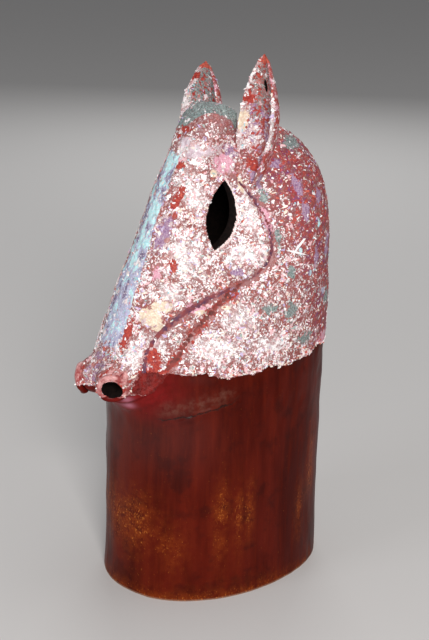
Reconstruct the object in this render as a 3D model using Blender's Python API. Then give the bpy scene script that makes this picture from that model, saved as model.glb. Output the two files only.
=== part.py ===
"""Horse head sculpture: a hollow, open-bottomed, hand-built ceramic piece on its own oval neck.

Metres, +Z up, standing on z = 0. The muzzle points to -Y and the horse's left side is +X.
The form is worked out about the neck's own upright axis; everything hangs on one empty that
sets this axis back, so that the origin lies under the middle of the whole piece.
"""
import math

import bmesh
import bpy
import numpy as np
from mathutils import Vector

# ---- neck and crown ----
WALL = 0.006                # thickness of the clay wall
NECK_DEPTH = 0.234          # oval neck, front to back
NECK_WIDTH = 0.179          # oval neck, side to side
NECK_SET_BACK = 0.0180      # the neck's axis lies this far behind the origin
FOOT_FLARE = 0.015          # share by which the neck widens at the floor
OVAL_POWER = 2.15           # 2 is an ellipse, more is squarer
CROWN_Z = 0.457             # top of the dome behind the forehead
CREST_Y = 0.012             # the dome peaks this far behind the neck's axis
BACK_SHOULDER = (0.25, 3.3)   # height at which the back starts to round over, and its power
NAPE_DIP = 0.0045           # the nape dips in by this much at NAPE_Z
NAPE_Z = 0.336
NAPE_REACH = 0.034          # and the dip fades this far above and below
FRONT_SHOULDER = (0.425, 2.4)  # the same at the forehead
SIDE_SHOULDER = (0.32, 2.2)   # and at the sides

# ---- face and muzzle ----
FACE_SLOPE = 0.464          # run back for each metre up, along the nose
FACE_FOOT = (-0.0950, 0.30)  # (y, z) of a point on the face line
FACE_EDGE = 0.030           # length over which the neck turns into the face line
FACE_NARROWING = 0.39       # share by which the face is narrower than the back of the head
FOREHEAD = (-0.008, 0.434)  # (y, z) of the upper end of the face bar
MUZZLE = (-0.1055, 0.240)   # (y, z) of its lower end
FACE_BAR_WIDTH = 0.029      # half width at both ends
FACE_BAR_WAIST = 0.0032     # the bar is this much narrower halfway
CREST_PLAN = (-0.030, 0.027, 0.035)  # crest from above: y of its middle, half width, reach back
FACE_BAR_DEPTHS = (0.041, 0.030)  # half depths at forehead and muzzle
FACE_BAR_POWERS = (3.2, 2.4)  # squareness of the bar's section at forehead and muzzle
CHIN = ((0.0, -0.106, 0.213), (0.025, 0.018, 0.0135))  # centre and radii
UPPER_LIP = ((0.036, -0.106), -0.131, (0.226, 0.210), 0.0035)  # corner, front, heights, radius
LOWER_LIP = ((0.042, -0.096), -0.120, (0.223, 0.203), 0.0035)
CHEEK_LIFT = 0.0028         # the cheek stands this much above the neck

# ---- nostrils ----
NOSTRIL_PLACE = (0.0255, -0.1420, 0.2255)  # centre of the left coil, without its lift
NOSTRIL_LIFT = 0.0033       # the left nostril is this much higher and the right one lower
NOSTRIL_YAW = math.radians(52)
NOSTRIL_DIP = math.radians(13)
NOSTRIL_RING = 0.0124       # radius of the coil's centre line
NOSTRIL_COIL = 0.0031       # radius of the coil
NOSTRIL_CUP = ((0.0178, -0.1350, 0.2270), (0.016, 0.016, 0.0155))  # clay behind the coil
NOSTRIL_THROAT = 0.0065     # radius of the bore where it enters the hollow
BORE_BEHIND = 0.030         # reach of the bore behind the coil's plane
BORE_AHEAD = 0.012          # and ahead of it, clear of the clay

# ---- eyes ----
EYE_LENGTH = 0.0652
EYE_WIDTH = 0.0238
EYE_CENTRE = (-0.0343, 0.3838)  # (y, z)
EYE_TILT = math.radians(-16)
EYE_CUT = 0.060             # |x| of the middle of the cut
EYE_CUT_DEPTH = 0.080

# ---- lines pressed into the side of the head, as (y, z) points of smooth curves ----
GROOVE_RADIUS = 0.0048      # tool that pressed them
GROOVE_DEPTH = 0.0024
JAW_LINE = [(-0.031, 0.439), (-0.016, 0.418), (-0.003, 0.396), (0.004, 0.370), (0.002, 0.348),
            (-0.010, 0.331), (-0.034, 0.313), (-0.067, 0.281), (-0.094, 0.247), (-0.115, 0.215)]
MOUTH_LINE = [(-0.036, 0.317), (-0.057, 0.307), (-0.079, 0.294), (-0.098, 0.278),
              (-0.110, 0.261), (-0.115, 0.241)]

# ---- ears: leaf-shaped troughs ----
EAR_SECTIONS = [            # share of height, half width, depth of the curl, wall
    (-0.06, 0.0070, 0.0090, 0.0060),
    (0.10, 0.0128, 0.0155, 0.0058),
    (0.30, 0.0182, 0.0205, 0.0052),
    (0.50, 0.0188, 0.0200, 0.0048),
    (0.68, 0.0160, 0.0150, 0.0045),
    (0.83, 0.0110, 0.0085, 0.0042),
    (0.94, 0.0058, 0.0042, 0.0038),
]
LEFT_EAR = ((0.048, -0.005, 0.416), (0.048, 0.009, 0.531), math.radians(4), 1.19)
RIGHT_EAR = ((-0.0475, 0.003, 0.411), (-0.050, 0.017, 0.510), math.radians(-8), 1.35)
SLIT_LENGTH = 0.013         # drying crack through the left ear, below its tip
SLIT_WIDTH = 0.0042
SLIT_CENTRE = (0.0465, 0.0140, 0.5005)
SLIT_DEPTH = 0.020

# ---- meshing ----
HEART = Vector((0.0, -0.020, 0.330))  # point inside the head from which all of it is in sight
FORM_GRID = (58, 46)        # columns round and rows up the outside
HOLLOW_GRID = (26, 20)      # and on the inside
SHARP = math.radians(35)    # edges steeper than this stay sharp when shaded


def clear_scene():
    for old in list(bpy.data.objects):
        bpy.data.objects.remove(old, do_unlink=True)


# ---- the form: negative inside, positive outside ----

def ease(t):
    t = np.clip(t, 0.0, 1.0)
    return t * t * (3.0 - 2.0 * t)


def blend_union(a, b, reach):
    """Union of two forms, melted together over `reach` like clay."""
    h = np.clip(0.5 + 0.5 * (b - a) / reach, 0.0, 1.0)
    return b + (a - b) * h - reach * h * (1.0 - h)


def dome(z, spring, top, power):
    """1 up to `spring`, falling to 0 at `top` along a rounded shoulder."""
    t = np.clip((z - spring) / (top - spring), 0.0, 1.0)
    return np.clip(1.0 - t ** power, 1e-6, 1.0) ** (1.0 / power)


def neck_and_dome(x, y, z, inset):
    """Oval column that rounds over into the crown, cut back at the front along the face."""
    top = CROWN_Z - inset
    up = np.clip(z, 0.0, top - 1e-4)
    flare = 1.0 + FOOT_FLARE * np.exp(-up / 0.03)
    half_depth = (NECK_DEPTH / 2 - inset) * flare
    back = CREST_Y + (half_depth - CREST_Y) * dome(up, BACK_SHOULDER[0], top, BACK_SHOULDER[1])
    back = back - NAPE_DIP * np.exp(-((up - NAPE_Z) / NAPE_REACH) ** 2)
    face = FACE_FOOT[0] + FACE_SLOPE * (up - FACE_FOOT[1]) + inset * math.hypot(1.0, FACE_SLOPE)
    front = -blend_union(half_depth, -face, FACE_EDGE)
    front = CREST_Y + (front - CREST_Y) * dome(up, FRONT_SHOULDER[0], top, FRONT_SHOULDER[1])
    half_width = NECK_WIDTH / 2 - inset
    half_width = half_width * flare * dome(up, SIDE_SHOULDER[0], top, SIDE_SHOULDER[1])
    s = (y - (front + back) / 2) / ((back - front) / 2)
    narrowing = FACE_NARROWING * ease((up - 0.20) / 0.14)
    half_width = half_width * (1.0 - narrowing * ease((0.35 - s) / 1.35))
    g = ((np.abs(x) / half_width) ** OVAL_POWER + np.abs(s) ** OVAL_POWER) ** (1 / OVAL_POWER)
    d = (g - 1.0) * np.minimum((back - front) / 2, half_width)
    return np.maximum(d, z - top)


def face_bar(x, y, z, inset):
    """Bar with rounded edges from the crest above the forehead down the nose to the muzzle."""
    run = np.subtract(MUZZLE, FOREHEAD)
    length = math.hypot(*run)
    run = run / length
    along = (y - FOREHEAD[0]) * run[0] + (z - FOREHEAD[1]) * run[1]
    out = (y - FOREHEAD[0]) * run[1] - (z - FOREHEAD[1]) * run[0]
    t = np.clip(along / length, 0.0, 1.0)
    half_width = FACE_BAR_WIDTH - FACE_BAR_WAIST * 4 * t * (1 - t) - inset
    half_depth = FACE_BAR_DEPTHS[0] + (FACE_BAR_DEPTHS[1] - FACE_BAR_DEPTHS[0]) * t - inset
    past_end = along - np.clip(along, 0.0, length)
    power = FACE_BAR_POWERS[0] + (FACE_BAR_POWERS[1] - FACE_BAR_POWERS[0]) * ease(t / 0.35)
    g = (np.abs(x / half_width) ** power + np.abs(out / half_depth) ** power
         + np.abs(past_end / half_depth) ** power) ** (1 / power)
    # seen from above, the crest ends in a rounded wall behind the forehead
    middle, width, reach = CREST_PLAN[0], CREST_PLAN[1] - inset, CREST_PLAN[2] - inset
    behind = np.maximum(y - middle, 0.0)
    plan = (np.abs(x / width) ** power + (behind / reach) ** power) ** (1 / power)
    return np.maximum((g - 1.0) * np.minimum(half_width, half_depth), (plan - 1.0) * width)


def egg(x, y, z, centre, radii, inset=0.0):
    """Ellipsoid with its axes along X, Y and Z."""
    rx, ry, rz = (r - inset for r in radii)
    g = np.sqrt((np.abs(x - centre[0]) / rx) ** 2 + ((y - centre[1]) / ry) ** 2
                + ((z - centre[2]) / rz) ** 2)
    return (g - 1.0) * min(rx, ry, rz)


def lip(x, y, z, corner, front_y, heights, radius):
    """Roll of clay round the front of the muzzle, from one corner of the mouth to the other."""
    reach = corner[1] - front_y
    angle_radius = np.sqrt((x / corner[0]) ** 2 + ((y - corner[1]) / reach) ** 2)
    forward = np.clip((corner[1] - y) / reach, 0.0, 1.0)
    height = heights[0] + (heights[1] - heights[0]) * forward
    return np.sqrt(((angle_radius - 1.0) * corner[0]) ** 2 + (z - height) ** 2
                   + (np.maximum(y - corner[1], 0.0)) ** 2) - radius


def smooth_line(points, steps):
    """Points at equal parameter steps on the smooth curve through `points`."""
    points = np.array(points)
    slopes = np.gradient(points, axis=0)
    at = np.linspace(0, len(points) - 1, steps)
    i = np.minimum(at.astype(int), len(points) - 2)
    t = (at - i)[:, None]
    return ((2 * t ** 3 - 3 * t ** 2 + 1) * points[i] + (t ** 3 - 2 * t ** 2 + t) * slopes[i]
            + (3 * t ** 2 - 2 * t ** 3) * points[i + 1] + (t ** 3 - t ** 2) * slopes[i + 1])


def side_of_line(y, z, points):
    """Distance to a pressed line in the side view, positive towards the face."""
    line = smooth_line(points, 60)
    step_y, step_z = np.gradient(line, axis=0).T
    off_y = y[..., None] - line[:, 0]
    off_z = z[..., None] - line[:, 1]
    nearest = np.argmin(np.hypot(off_y, off_z), axis=-1)[..., None]
    across = (step_z * off_y - step_y * off_z) / np.hypot(step_y, step_z)
    return np.take_along_axis(across, nearest, -1)[..., 0]


def form(points, inset=0.0, relief=True):
    """The whole modelled head at `points`, or the same with every wall moved in by `inset`."""
    x, y, z = points[..., 0], points[..., 1], points[..., 2]
    reach = 0.030 - 0.020 * ease((z - 0.40) / 0.05)
    d = blend_union(neck_and_dome(x, y, z, inset), face_bar(x, y, z, inset), reach)
    d = blend_union(d, egg(x, y, z, *CHIN, inset), 0.010)
    if not relief:
        return d
    for side in (-1, 1):
        (cup_x, cup_y, cup_z), radii = NOSTRIL_CUP
        cup = egg(x, y, z, (side * cup_x, cup_y, cup_z + side * NOSTRIL_LIFT), radii)
        d = blend_union(d, cup, 0.012)
    d = blend_union(d, lip(x, y, z, *UPPER_LIP), 0.005)
    d = blend_union(d, lip(x, y, z, *LOWER_LIP), 0.005)
    cheek = ease(side_of_line(y, z, JAW_LINE) / 0.012 + 0.5)
    on_side = ease((np.abs(x) - 0.018) / 0.02) * ease((z - 0.215) / 0.02) * ease((0.44 - z) / 0.04)
    return d - CHEEK_LIFT * cheek * on_side


# ---- turning the form into solids ----

def reach_surface(starts, directions, **settings):
    """How far each ray from inside runs before it leaves the form."""
    near = np.zeros(directions.shape[:-1])
    far = np.full(directions.shape[:-1], 0.45)
    for _ in range(24):
        middle = (near + far) / 2
        inside = form(starts + directions * middle[..., None], **settings) < 0
        near = np.where(inside, middle, near)
        far = np.where(inside, far, middle)
    return (near + far) / 2


def form_rings(columns, rows, floor, neck_share, **settings):
    """Rings of points on the form, seen from HEART, from the floor up to near the crown.

    Columns are closer round the face. Rows are evenly spaced along each column, but
    `neck_share` as dense on the plain neck as on the head.
    """
    heart = np.array(HEART)
    turn = np.linspace(0, 2 * math.pi, columns, endpoint=False)
    turn = turn - 0.30 * np.sin(turn)
    level = np.stack([np.sin(turn), -np.cos(turn), np.zeros(columns)], -1)
    foot = heart * [1, 1, 0] + [0, 0, floor]
    rim = reach_surface(foot, level, **settings)
    lowest = np.arctan2(rim, heart[2] - floor)

    def rays(tilt):
        return level[:, None] * np.sin(tilt)[..., None] - np.cos(tilt)[..., None] * [0, 0, 1]

    def surface(tilt):
        return heart + rays(tilt) * reach_surface(heart, rays(tilt), **settings)[..., None]

    tilt = lowest[:, None] + np.linspace(0, 1, 400) * (math.pi - lowest[:, None])
    fine = surface(tilt)
    steps = np.linalg.norm(np.diff(fine, axis=1), axis=-1)
    steps *= neck_share + (1 - neck_share) * ease((fine[:, 1:, 2] - 0.16) / 0.05)
    run = np.concatenate([np.zeros((columns, 1)), np.cumsum(steps, axis=1)], axis=1)
    wanted = np.linspace(0, 1, rows + 1)[:-1]
    tilt = np.array([np.interp(wanted * r[-1], r, t) for r, t in zip(run, tilt)])
    return surface(tilt).swapaxes(0, 1)


def shade(mesh):
    mesh.shade_smooth()
    mesh.set_sharp_from_angle(angle=SHARP)


def loft(name, rings, apex=None):
    """Closed solid through rings of points, flat below, drawn in to `apex` or flat above."""
    mesh = bpy.data.meshes.new(name)
    bm = bmesh.new()
    rows = [[bm.verts.new(point) for point in ring] for ring in rings]
    for low, high in zip(rows, rows[1:]):
        for i in range(len(low)):
            j = (i + 1) % len(low)
            bm.faces.new((low[i], low[j], high[j], high[i]))
    bm.faces.new(rows[0][::-1])
    if apex is None:
        bm.faces.new(rows[-1])
    else:
        tip = bm.verts.new(apex)
        last = rows[-1]
        for i in range(len(last)):
            bm.faces.new((last[i], last[(i + 1) % len(last)], tip))
    bmesh.ops.recalc_face_normals(bm, faces=bm.faces)
    bm.to_mesh(mesh)
    bm.free()
    shade(mesh)
    return bpy.data.objects.new(name, mesh)


def cast_form(name, grid, floor, neck_share, **settings):
    """Solid of the form above `floor`."""
    heart = np.array(HEART)
    rings = form_rings(*grid, floor, neck_share, **settings)
    height = reach_surface(heart, np.array([0.0, 0.0, 1.0]), **settings)
    return loft(name, rings.tolist(), (heart + [0, 0, height]).tolist())


def almond(name, length, width, depth, sides=9):
    """Prism along X whose outline is two equal arcs that meet in points at the ends of Z."""
    half_angle = 2 * math.atan(width / length)
    radius = length / 2 / math.sin(half_angle)
    angles = np.linspace(-half_angle, half_angle, sides)
    bulge = radius * np.cos(angles) - radius * math.cos(half_angle)
    height = radius * np.sin(angles)
    outline = list(zip(bulge, height)) + list(zip(-bulge[-2:0:-1], height[-2:0:-1]))
    rings = [[(x, y, z) for y, z in outline] for x in (-depth / 2, depth / 2)]
    return loft(name, rings)


def groove_tool(name, points, side):
    """Round rod laid along a pressed line, sunk GROOVE_DEPTH into the side of the head."""
    path = smooth_line(points, 22)
    level = np.zeros((len(path), 3))
    level[:, 0] = side
    starts = np.column_stack([np.zeros(len(path)), path])
    surface = starts + level * reach_surface(starts, level)[:, None]
    slope = np.gradient(surface, axis=0)
    outward = np.cross(slope, np.cross(level, slope))
    outward /= np.linalg.norm(outward, axis=1)[:, None]
    curve = bpy.data.curves.new(name, 'CURVE')
    curve.dimensions = '3D'
    curve.bevel_depth = GROOVE_RADIUS
    curve.bevel_resolution = 2
    curve.use_fill_caps = True
    spline = curve.splines.new('POLY')
    spline.points.add(len(path) - 1)
    ends = np.minimum(np.arange(len(path)), np.arange(len(path))[::-1])
    fullness = 0.25 + 0.75 * ease(ends / 4.0)
    places = surface + outward * ((GROOVE_RADIUS - GROOVE_DEPTH) * fullness)[:, None]
    for point, place, full in zip(spline.points, places, fullness):
        point.co = (*place, 1.0)
        point.radius = full
    wire = bpy.data.objects.new(name + '_wire', curve)
    bpy.context.scene.collection.objects.link(wire)
    shaped = wire.evaluated_get(bpy.context.evaluated_depsgraph_get())
    mesh = bpy.data.meshes.new_from_object(shaped)
    bpy.data.objects.remove(wire)
    bm = bmesh.new()
    bm.from_mesh(mesh)
    bmesh.ops.remove_doubles(bm, verts=bm.verts, dist=0.0001)
    bmesh.ops.recalc_face_normals(bm, faces=bm.faces)
    bm.to_mesh(mesh)
    bm.free()
    shade(mesh)
    return bpy.data.objects.new(name, mesh)


def ear(name, side, base, tip, facing, breadth):
    """Leaf-shaped trough, open towards `facing`, lofted through crescents up to a blunt point."""
    base, tip = Vector(base), Vector(tip)
    rise = tip - base
    front = Vector((side * math.sin(facing), -math.cos(facing), 0.0))
    front = (front - front.project(rise)).normalized()
    across = rise.normalized().cross(front)
    turns = [math.pi * i / 8 for i in range(9)]
    rings = []
    for share, half_width, curl, wall in EAR_SECTIONS:
        half_width = half_width * breadth
        middle = base + rise * share
        outside = [middle + across * half_width * math.cos(turn) - front * curl * math.sin(turn)
                   for turn in turns]
        half_width = half_width - wall * 0.6
        curl = max(curl - wall, 0.0)
        inside = [middle + across * half_width * math.cos(turn) - front * curl * math.sin(turn)
                  for turn in turns[-2:0:-1]]
        rings.append(outside + inside)
    return loft(name, rings, tip)


def nostril_frame(side):
    """Centre of a nostril's coil and the way that it opens: out, forward and a little down."""
    x, y, z = NOSTRIL_PLACE
    centre = Vector((side * x, y, z + side * NOSTRIL_LIFT))
    opens = Vector((side * math.sin(NOSTRIL_YAW) * math.cos(NOSTRIL_DIP),
                    -math.cos(NOSTRIL_YAW) * math.cos(NOSTRIL_DIP), -math.sin(NOSTRIL_DIP)))
    return centre, opens


def nostril_coil(name, side):
    """Ring of rolled clay set on the end of the muzzle."""
    centre, opens = nostril_frame(side)
    bpy.ops.mesh.primitive_torus_add(
        location=centre, rotation=opens.to_track_quat('Z', 'Y').to_euler(), major_segments=20,
        minor_segments=8, major_radius=NOSTRIL_RING, minor_radius=NOSTRIL_COIL)
    ring = bpy.context.object
    ring.name = name
    shade(ring.data)
    bpy.context.collection.objects.unlink(ring)
    return ring


def nostril_bore(name, side):
    """Funnel from inside the coil back into the hollow of the head."""
    centre, opens = nostril_frame(side)
    bpy.ops.mesh.primitive_cone_add(
        vertices=16, radius1=NOSTRIL_THROAT, radius2=NOSTRIL_RING - NOSTRIL_COIL / 2,
        depth=BORE_BEHIND + BORE_AHEAD, location=centre + opens * (BORE_AHEAD - BORE_BEHIND) / 2,
        rotation=opens.to_track_quat('Z', 'Y').to_euler())
    bore = bpy.context.object
    bore.name = name
    shade(bore.data)
    bpy.context.collection.objects.unlink(bore)
    return bore


# ---- assembly ----

def glaze(name, colour, roughness):
    material = bpy.data.materials.new(name)
    material.use_nodes = True
    shader = material.node_tree.nodes['Principled BSDF']
    shader.inputs['Base Color'].default_value = (*colour, 1.0)
    shader.inputs['Roughness'].default_value = roughness
    shader.inputs['Metallic'].default_value = 0.0
    return material


def build():
    clear_scene()
    sculpture = bpy.data.collections.new('horse_head_sculpture')
    tools = bpy.data.collections.new('tools')
    bpy.context.scene.collection.children.link(sculpture)
    bpy.context.scene.collection.children.link(tools)
    axis = bpy.data.objects.new('neck_axis', None)
    axis.location.y = NECK_SET_BACK
    sculpture.objects.link(axis)

    head = cast_form('horse_head', FORM_GRID, 0.0, 0.12)
    head.data.materials.append(glaze('ceramic', (0.42, 0.16, 0.13), 0.5))
    head.parent = axis
    sculpture.objects.link(head)

    def combine(piece, operation):
        piece.parent = axis
        piece.hide_render = True
        piece.display_type = 'WIRE'
        tools.objects.link(piece)
        step = head.modifiers.new(piece.name, 'BOOLEAN')
        step.operation = operation
        step.object = piece
        step.solver = 'EXACT'

    sides = ((1, 'left'), (-1, 'right'))
    combine(ear('left_ear', 1, *LEFT_EAR), 'UNION')
    combine(ear('right_ear', -1, *RIGHT_EAR), 'UNION')
    for side, label in sides:
        combine(nostril_coil(label + '_nostril_coil', side), 'UNION')
    for side, label in sides:
        combine(groove_tool(label + '_jaw_line', JAW_LINE[1:-1], side), 'DIFFERENCE')
        combine(groove_tool(label + '_mouth_line', MOUTH_LINE, side), 'DIFFERENCE')
    hollow = cast_form('hollow', HOLLOW_GRID, -0.01, 0.15, inset=WALL, relief=False)
    combine(hollow, 'DIFFERENCE')
    for side, label in sides:
        eye = almond(label + '_eye', EYE_LENGTH, EYE_WIDTH, EYE_CUT_DEPTH)
        eye.location = (side * EYE_CUT, *EYE_CENTRE)
        eye.rotation_euler.x = EYE_TILT
        combine(eye, 'DIFFERENCE')
        combine(nostril_bore(label + '_nostril_bore', side), 'DIFFERENCE')
    slit = almond('ear_slit', SLIT_LENGTH, SLIT_WIDTH, SLIT_DEPTH, 5)
    slit.location = SLIT_CENTRE
    slit.rotation_euler.z = LEFT_EAR[2] - math.pi / 2
    combine(slit, 'DIFFERENCE')
    tidy = head.modifiers.new('close_slivers', 'WELD')
    tidy.merge_threshold = 0.00006


build()
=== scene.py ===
# %% [markdown]
# # A hollow ceramic horse head, dressed over its CAD solid
# The real piece is one hand-built ceramic: a hollow head on its own oval neck, with two
# leaf-shaped ears, pierced eyes and rolled nostrils. The head is painted and crusted with
# flakes of mica, and the neck carries a dark brown glaze. The CAD solid already has that form,
# with few faces. It is worked out again here on a fine grid, so that it can carry finger
# marks, a ragged edge of paint and thousands of flakes. First the frame is opened.

# %% Open the frame
import math

import bpy
import numpy as np
from mathutils import Matrix, Vector


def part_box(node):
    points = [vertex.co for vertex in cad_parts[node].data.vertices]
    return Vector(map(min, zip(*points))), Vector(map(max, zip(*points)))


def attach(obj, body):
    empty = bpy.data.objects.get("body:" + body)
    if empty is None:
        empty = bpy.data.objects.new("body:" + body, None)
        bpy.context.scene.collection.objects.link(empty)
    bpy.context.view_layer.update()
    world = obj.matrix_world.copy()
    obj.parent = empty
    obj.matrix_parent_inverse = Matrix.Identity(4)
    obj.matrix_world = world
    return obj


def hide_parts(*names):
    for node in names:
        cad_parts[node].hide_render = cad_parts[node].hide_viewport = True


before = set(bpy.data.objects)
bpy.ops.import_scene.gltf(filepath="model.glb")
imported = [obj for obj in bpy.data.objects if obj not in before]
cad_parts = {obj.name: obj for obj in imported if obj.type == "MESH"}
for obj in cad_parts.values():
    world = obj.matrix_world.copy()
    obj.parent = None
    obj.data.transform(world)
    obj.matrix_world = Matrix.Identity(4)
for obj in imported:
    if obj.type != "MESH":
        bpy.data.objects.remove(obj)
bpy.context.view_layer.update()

low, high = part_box("horse_head")
print("the CAD solid measures", [round(side * 1000, 1) for side in high - low], "mm")

# %% [markdown]
# ## Measures of the clay
# A potter would know these by heart: how thick the slab is, how wide the oval neck, where the
# eyes sit. Lengths are in metres, and every form is worked out about the neck's own upright
# axis. That axis is found from the back of the CAD solid, so the two models can't drift apart.

# %% Measures
WALL = 0.006
NECK_DEPTH, NECK_WIDTH, FOOT_FLARE, OVAL_POWER = 0.234, 0.179, 0.015, 2.15
CROWN_Z, CREST_Y = 0.457, 0.012
BACK_SHOULDER, FRONT_SHOULDER, SIDE_SHOULDER = (0.25, 3.3), (0.425, 2.4), (0.32, 2.2)
NAPE_DIP, NAPE_Z, NAPE_REACH = 0.0045, 0.336, 0.034
FACE_SLOPE, FACE_FOOT, FACE_EDGE = 0.464, (-0.0950, 0.30), 0.030
FACE_NARROWING, NARROWS_FROM, NARROWS_OVER = 0.39, 0.20, 0.14
FOREHEAD, MUZZLE = (-0.008, 0.434), (-0.1055, 0.240)
FACE_BAR_WIDTH, FACE_BAR_WAIST = 0.029, 0.0032
FACE_BAR_DEPTHS, FACE_BAR_POWERS = (0.041, 0.030), (3.2, 2.4)
CREST_PLAN = (-0.030, 0.027, 0.035)
CHIN = ((0.0, -0.106, 0.213), (0.025, 0.018, 0.0135))
UPPER_LIP = ((0.036, -0.106), -0.131, (0.226, 0.210), 0.0035)
LOWER_LIP = ((0.042, -0.096), -0.120, (0.223, 0.203), 0.0035)
CHEEK_LIFT = 0.0028
FACE_MELT, POLL_MELT, CHIN_MELT, CUP_MELT, LIP_MELT = 0.030, 0.010, 0.010, 0.012, 0.005

NOSTRIL_PLACE, NOSTRIL_LIFT = (0.0255, -0.1420, 0.2255), 0.0033
NOSTRIL_YAW, NOSTRIL_DIP = math.radians(52), math.radians(13)
NOSTRIL_RING, NOSTRIL_COIL = 0.0124, 0.0031
NOSTRIL_CUP = ((0.0178, -0.1350, 0.2270), (0.016, 0.016, 0.0155))
BORE_RADII, BORE_REACH = (0.0065, 0.0109), (-0.030, 0.012)

EYE_LENGTH, EYE_WIDTH, EYE_CENTRE, EYE_TILT = 0.0652, 0.0238, (-0.0343, 0.3838), math.radians(-16)
SLIT_LENGTH, SLIT_WIDTH, SLIT_CENTRE = 0.013, 0.0042, (0.0465, 0.0140, 0.5005)

JAW_LINE = [(-0.031, 0.439), (-0.016, 0.418), (-0.003, 0.396), (0.004, 0.370), (0.002, 0.348),
            (-0.010, 0.331), (-0.034, 0.313), (-0.067, 0.281), (-0.094, 0.247), (-0.115, 0.215)]
MOUTH_LINE = [(-0.036, 0.317), (-0.057, 0.307), (-0.079, 0.294), (-0.098, 0.278),
              (-0.110, 0.261), (-0.115, 0.241)]
SCAR_LINE = [(-0.093, 0.1965), (-0.083, 0.2005), (-0.072, 0.207), (-0.052, 0.2115), (-0.030, 0.214)]

LEFT_EAR = ((0.048, -0.005, 0.416), (0.048, 0.009, 0.5304), math.radians(4), 1.19)
RIGHT_EAR = ((-0.0475, 0.003, 0.411), (-0.050, 0.017, 0.5095), math.radians(-8), 1.35)

HEART = np.array([0.0, -0.020, 0.330])     # a point inside the head that sees all of it
NECK_AXIS = np.array([0.0, high.y - NECK_DEPTH / 2 * (1 + FOOT_FLARE), 0.0])
print("the neck's axis stands", round(NECK_AXIS[1] * 1000, 1), "mm behind the origin")

# %% [markdown]
# ## The form as a recipe
# A hand-built head has no flat faces and no true circles, so it isn't made from ready shapes.
# It is written as a recipe instead: a function that is negative inside the clay and positive
# outside. Two parts melt together by a soft minimum, as two lumps do under a thumb.

# %% Soft steps and soft joins
def ease(t):
    """Smooth step: 3t^2 - 2t^3, held at 0 before t = 0 and at 1 after t = 1."""
    t = np.clip(t, 0.0, 1.0)
    return t * t * (3.0 - 2.0 * t)


def above(value, start, span):
    """0 up to `start` and 1 from `start` + `span`, with a smooth step between."""
    return ease((value - start) / span)


def below(value, start, span):
    """0 down to `start` and 1 from `start` - `span`, with a smooth step between."""
    return ease((start - value) / span)


def swell(value, middle, width):
    """exp(-((value - middle) / width)^2): 1 at the middle, fading to 0 on both sides."""
    return np.exp(-((value - middle) / width) ** 2)


def melt(a, b, reach):
    """Union of two forms: the smaller one, less a bulge of up to reach/4 where they are equal."""
    h = np.clip(0.5 + 0.5 * (b - a) / reach, 0.0, 1.0)
    return b + (a - b) * h - reach * h * (1.0 - h)


def dome(z, spring, top, power):
    """Superellipse shoulder: (1 - t^p)^(1/p), where t runs from 0 at `spring` to 1 at `top`."""
    t = np.clip((z - spring) / (top - spring), 0.0, 1.0)
    return np.clip(1.0 - t ** power, 1e-6, 1.0) ** (1.0 / power)


print("at half height a dome keeps", round(float(dome(0.5, 0.0, 1.0, 2.0)), 2), "of its width")

# %% Neck, crown and face
def neck_and_crown(x, y, z, inset):
    """Superellipse |x/a|^p + |s|^p = 1 at each height; s is -1 at the face and 1 at the back."""
    top = CROWN_Z - inset
    up = np.clip(z, 0.0, top - 1e-4)
    flare = 1.0 + FOOT_FLARE * np.exp(-up / 0.03)
    half_depth = (NECK_DEPTH / 2 - inset) * flare
    back = CREST_Y + (half_depth - CREST_Y) * dome(up, BACK_SHOULDER[0], top, BACK_SHOULDER[1])
    back = back - NAPE_DIP * swell(up, NAPE_Z, NAPE_REACH)
    face = FACE_FOOT[0] + FACE_SLOPE * (up - FACE_FOOT[1]) + inset * math.hypot(1.0, FACE_SLOPE)
    front = -melt(half_depth, -face, FACE_EDGE)
    front = CREST_Y + (front - CREST_Y) * dome(up, FRONT_SHOULDER[0], top, FRONT_SHOULDER[1])
    half_width = NECK_WIDTH / 2 - inset
    half_width = half_width * flare * dome(up, SIDE_SHOULDER[0], top, SIDE_SHOULDER[1])
    s = (y - (front + back) / 2) / ((back - front) / 2)
    narrowing = FACE_NARROWING * ease((up - NARROWS_FROM) / NARROWS_OVER)
    half_width = half_width * (1.0 - narrowing * below(s, 0.35, 1.35))
    g = ((np.abs(x) / half_width) ** OVAL_POWER + np.abs(s) ** OVAL_POWER) ** (1 / OVAL_POWER)
    return np.maximum((g - 1.0) * np.minimum((back - front) / 2, half_width), z - top)


def face_bar(x, y, z, inset):
    """Bar |x/w|^p + |out/d|^p + |past the end/d|^p = 1 along the nose, cut to an oval from above."""
    run = np.subtract(MUZZLE, FOREHEAD)
    length = math.hypot(*run)
    run = run / length
    along = (y - FOREHEAD[0]) * run[0] + (z - FOREHEAD[1]) * run[1]
    out = (y - FOREHEAD[0]) * run[1] - (z - FOREHEAD[1]) * run[0]
    t = np.clip(along / length, 0.0, 1.0)
    half_width = FACE_BAR_WIDTH - FACE_BAR_WAIST * 4 * t * (1 - t) - inset
    half_depth = FACE_BAR_DEPTHS[0] + (FACE_BAR_DEPTHS[1] - FACE_BAR_DEPTHS[0]) * t - inset
    past_end = along - np.clip(along, 0.0, length)
    power = FACE_BAR_POWERS[0] + (FACE_BAR_POWERS[1] - FACE_BAR_POWERS[0]) * ease(t / 0.35)
    g = (np.abs(x / half_width) ** power + np.abs(out / half_depth) ** power
         + np.abs(past_end / half_depth) ** power) ** (1 / power)
    middle, width, reach = CREST_PLAN[0], CREST_PLAN[1] - inset, CREST_PLAN[2] - inset
    behind = np.maximum(y - middle, 0.0)
    plan = (np.abs(x / width) ** power + (behind / reach) ** power) ** (1 / power)
    return np.maximum((g - 1.0) * np.minimum(half_width, half_depth), (plan - 1.0) * width)


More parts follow.
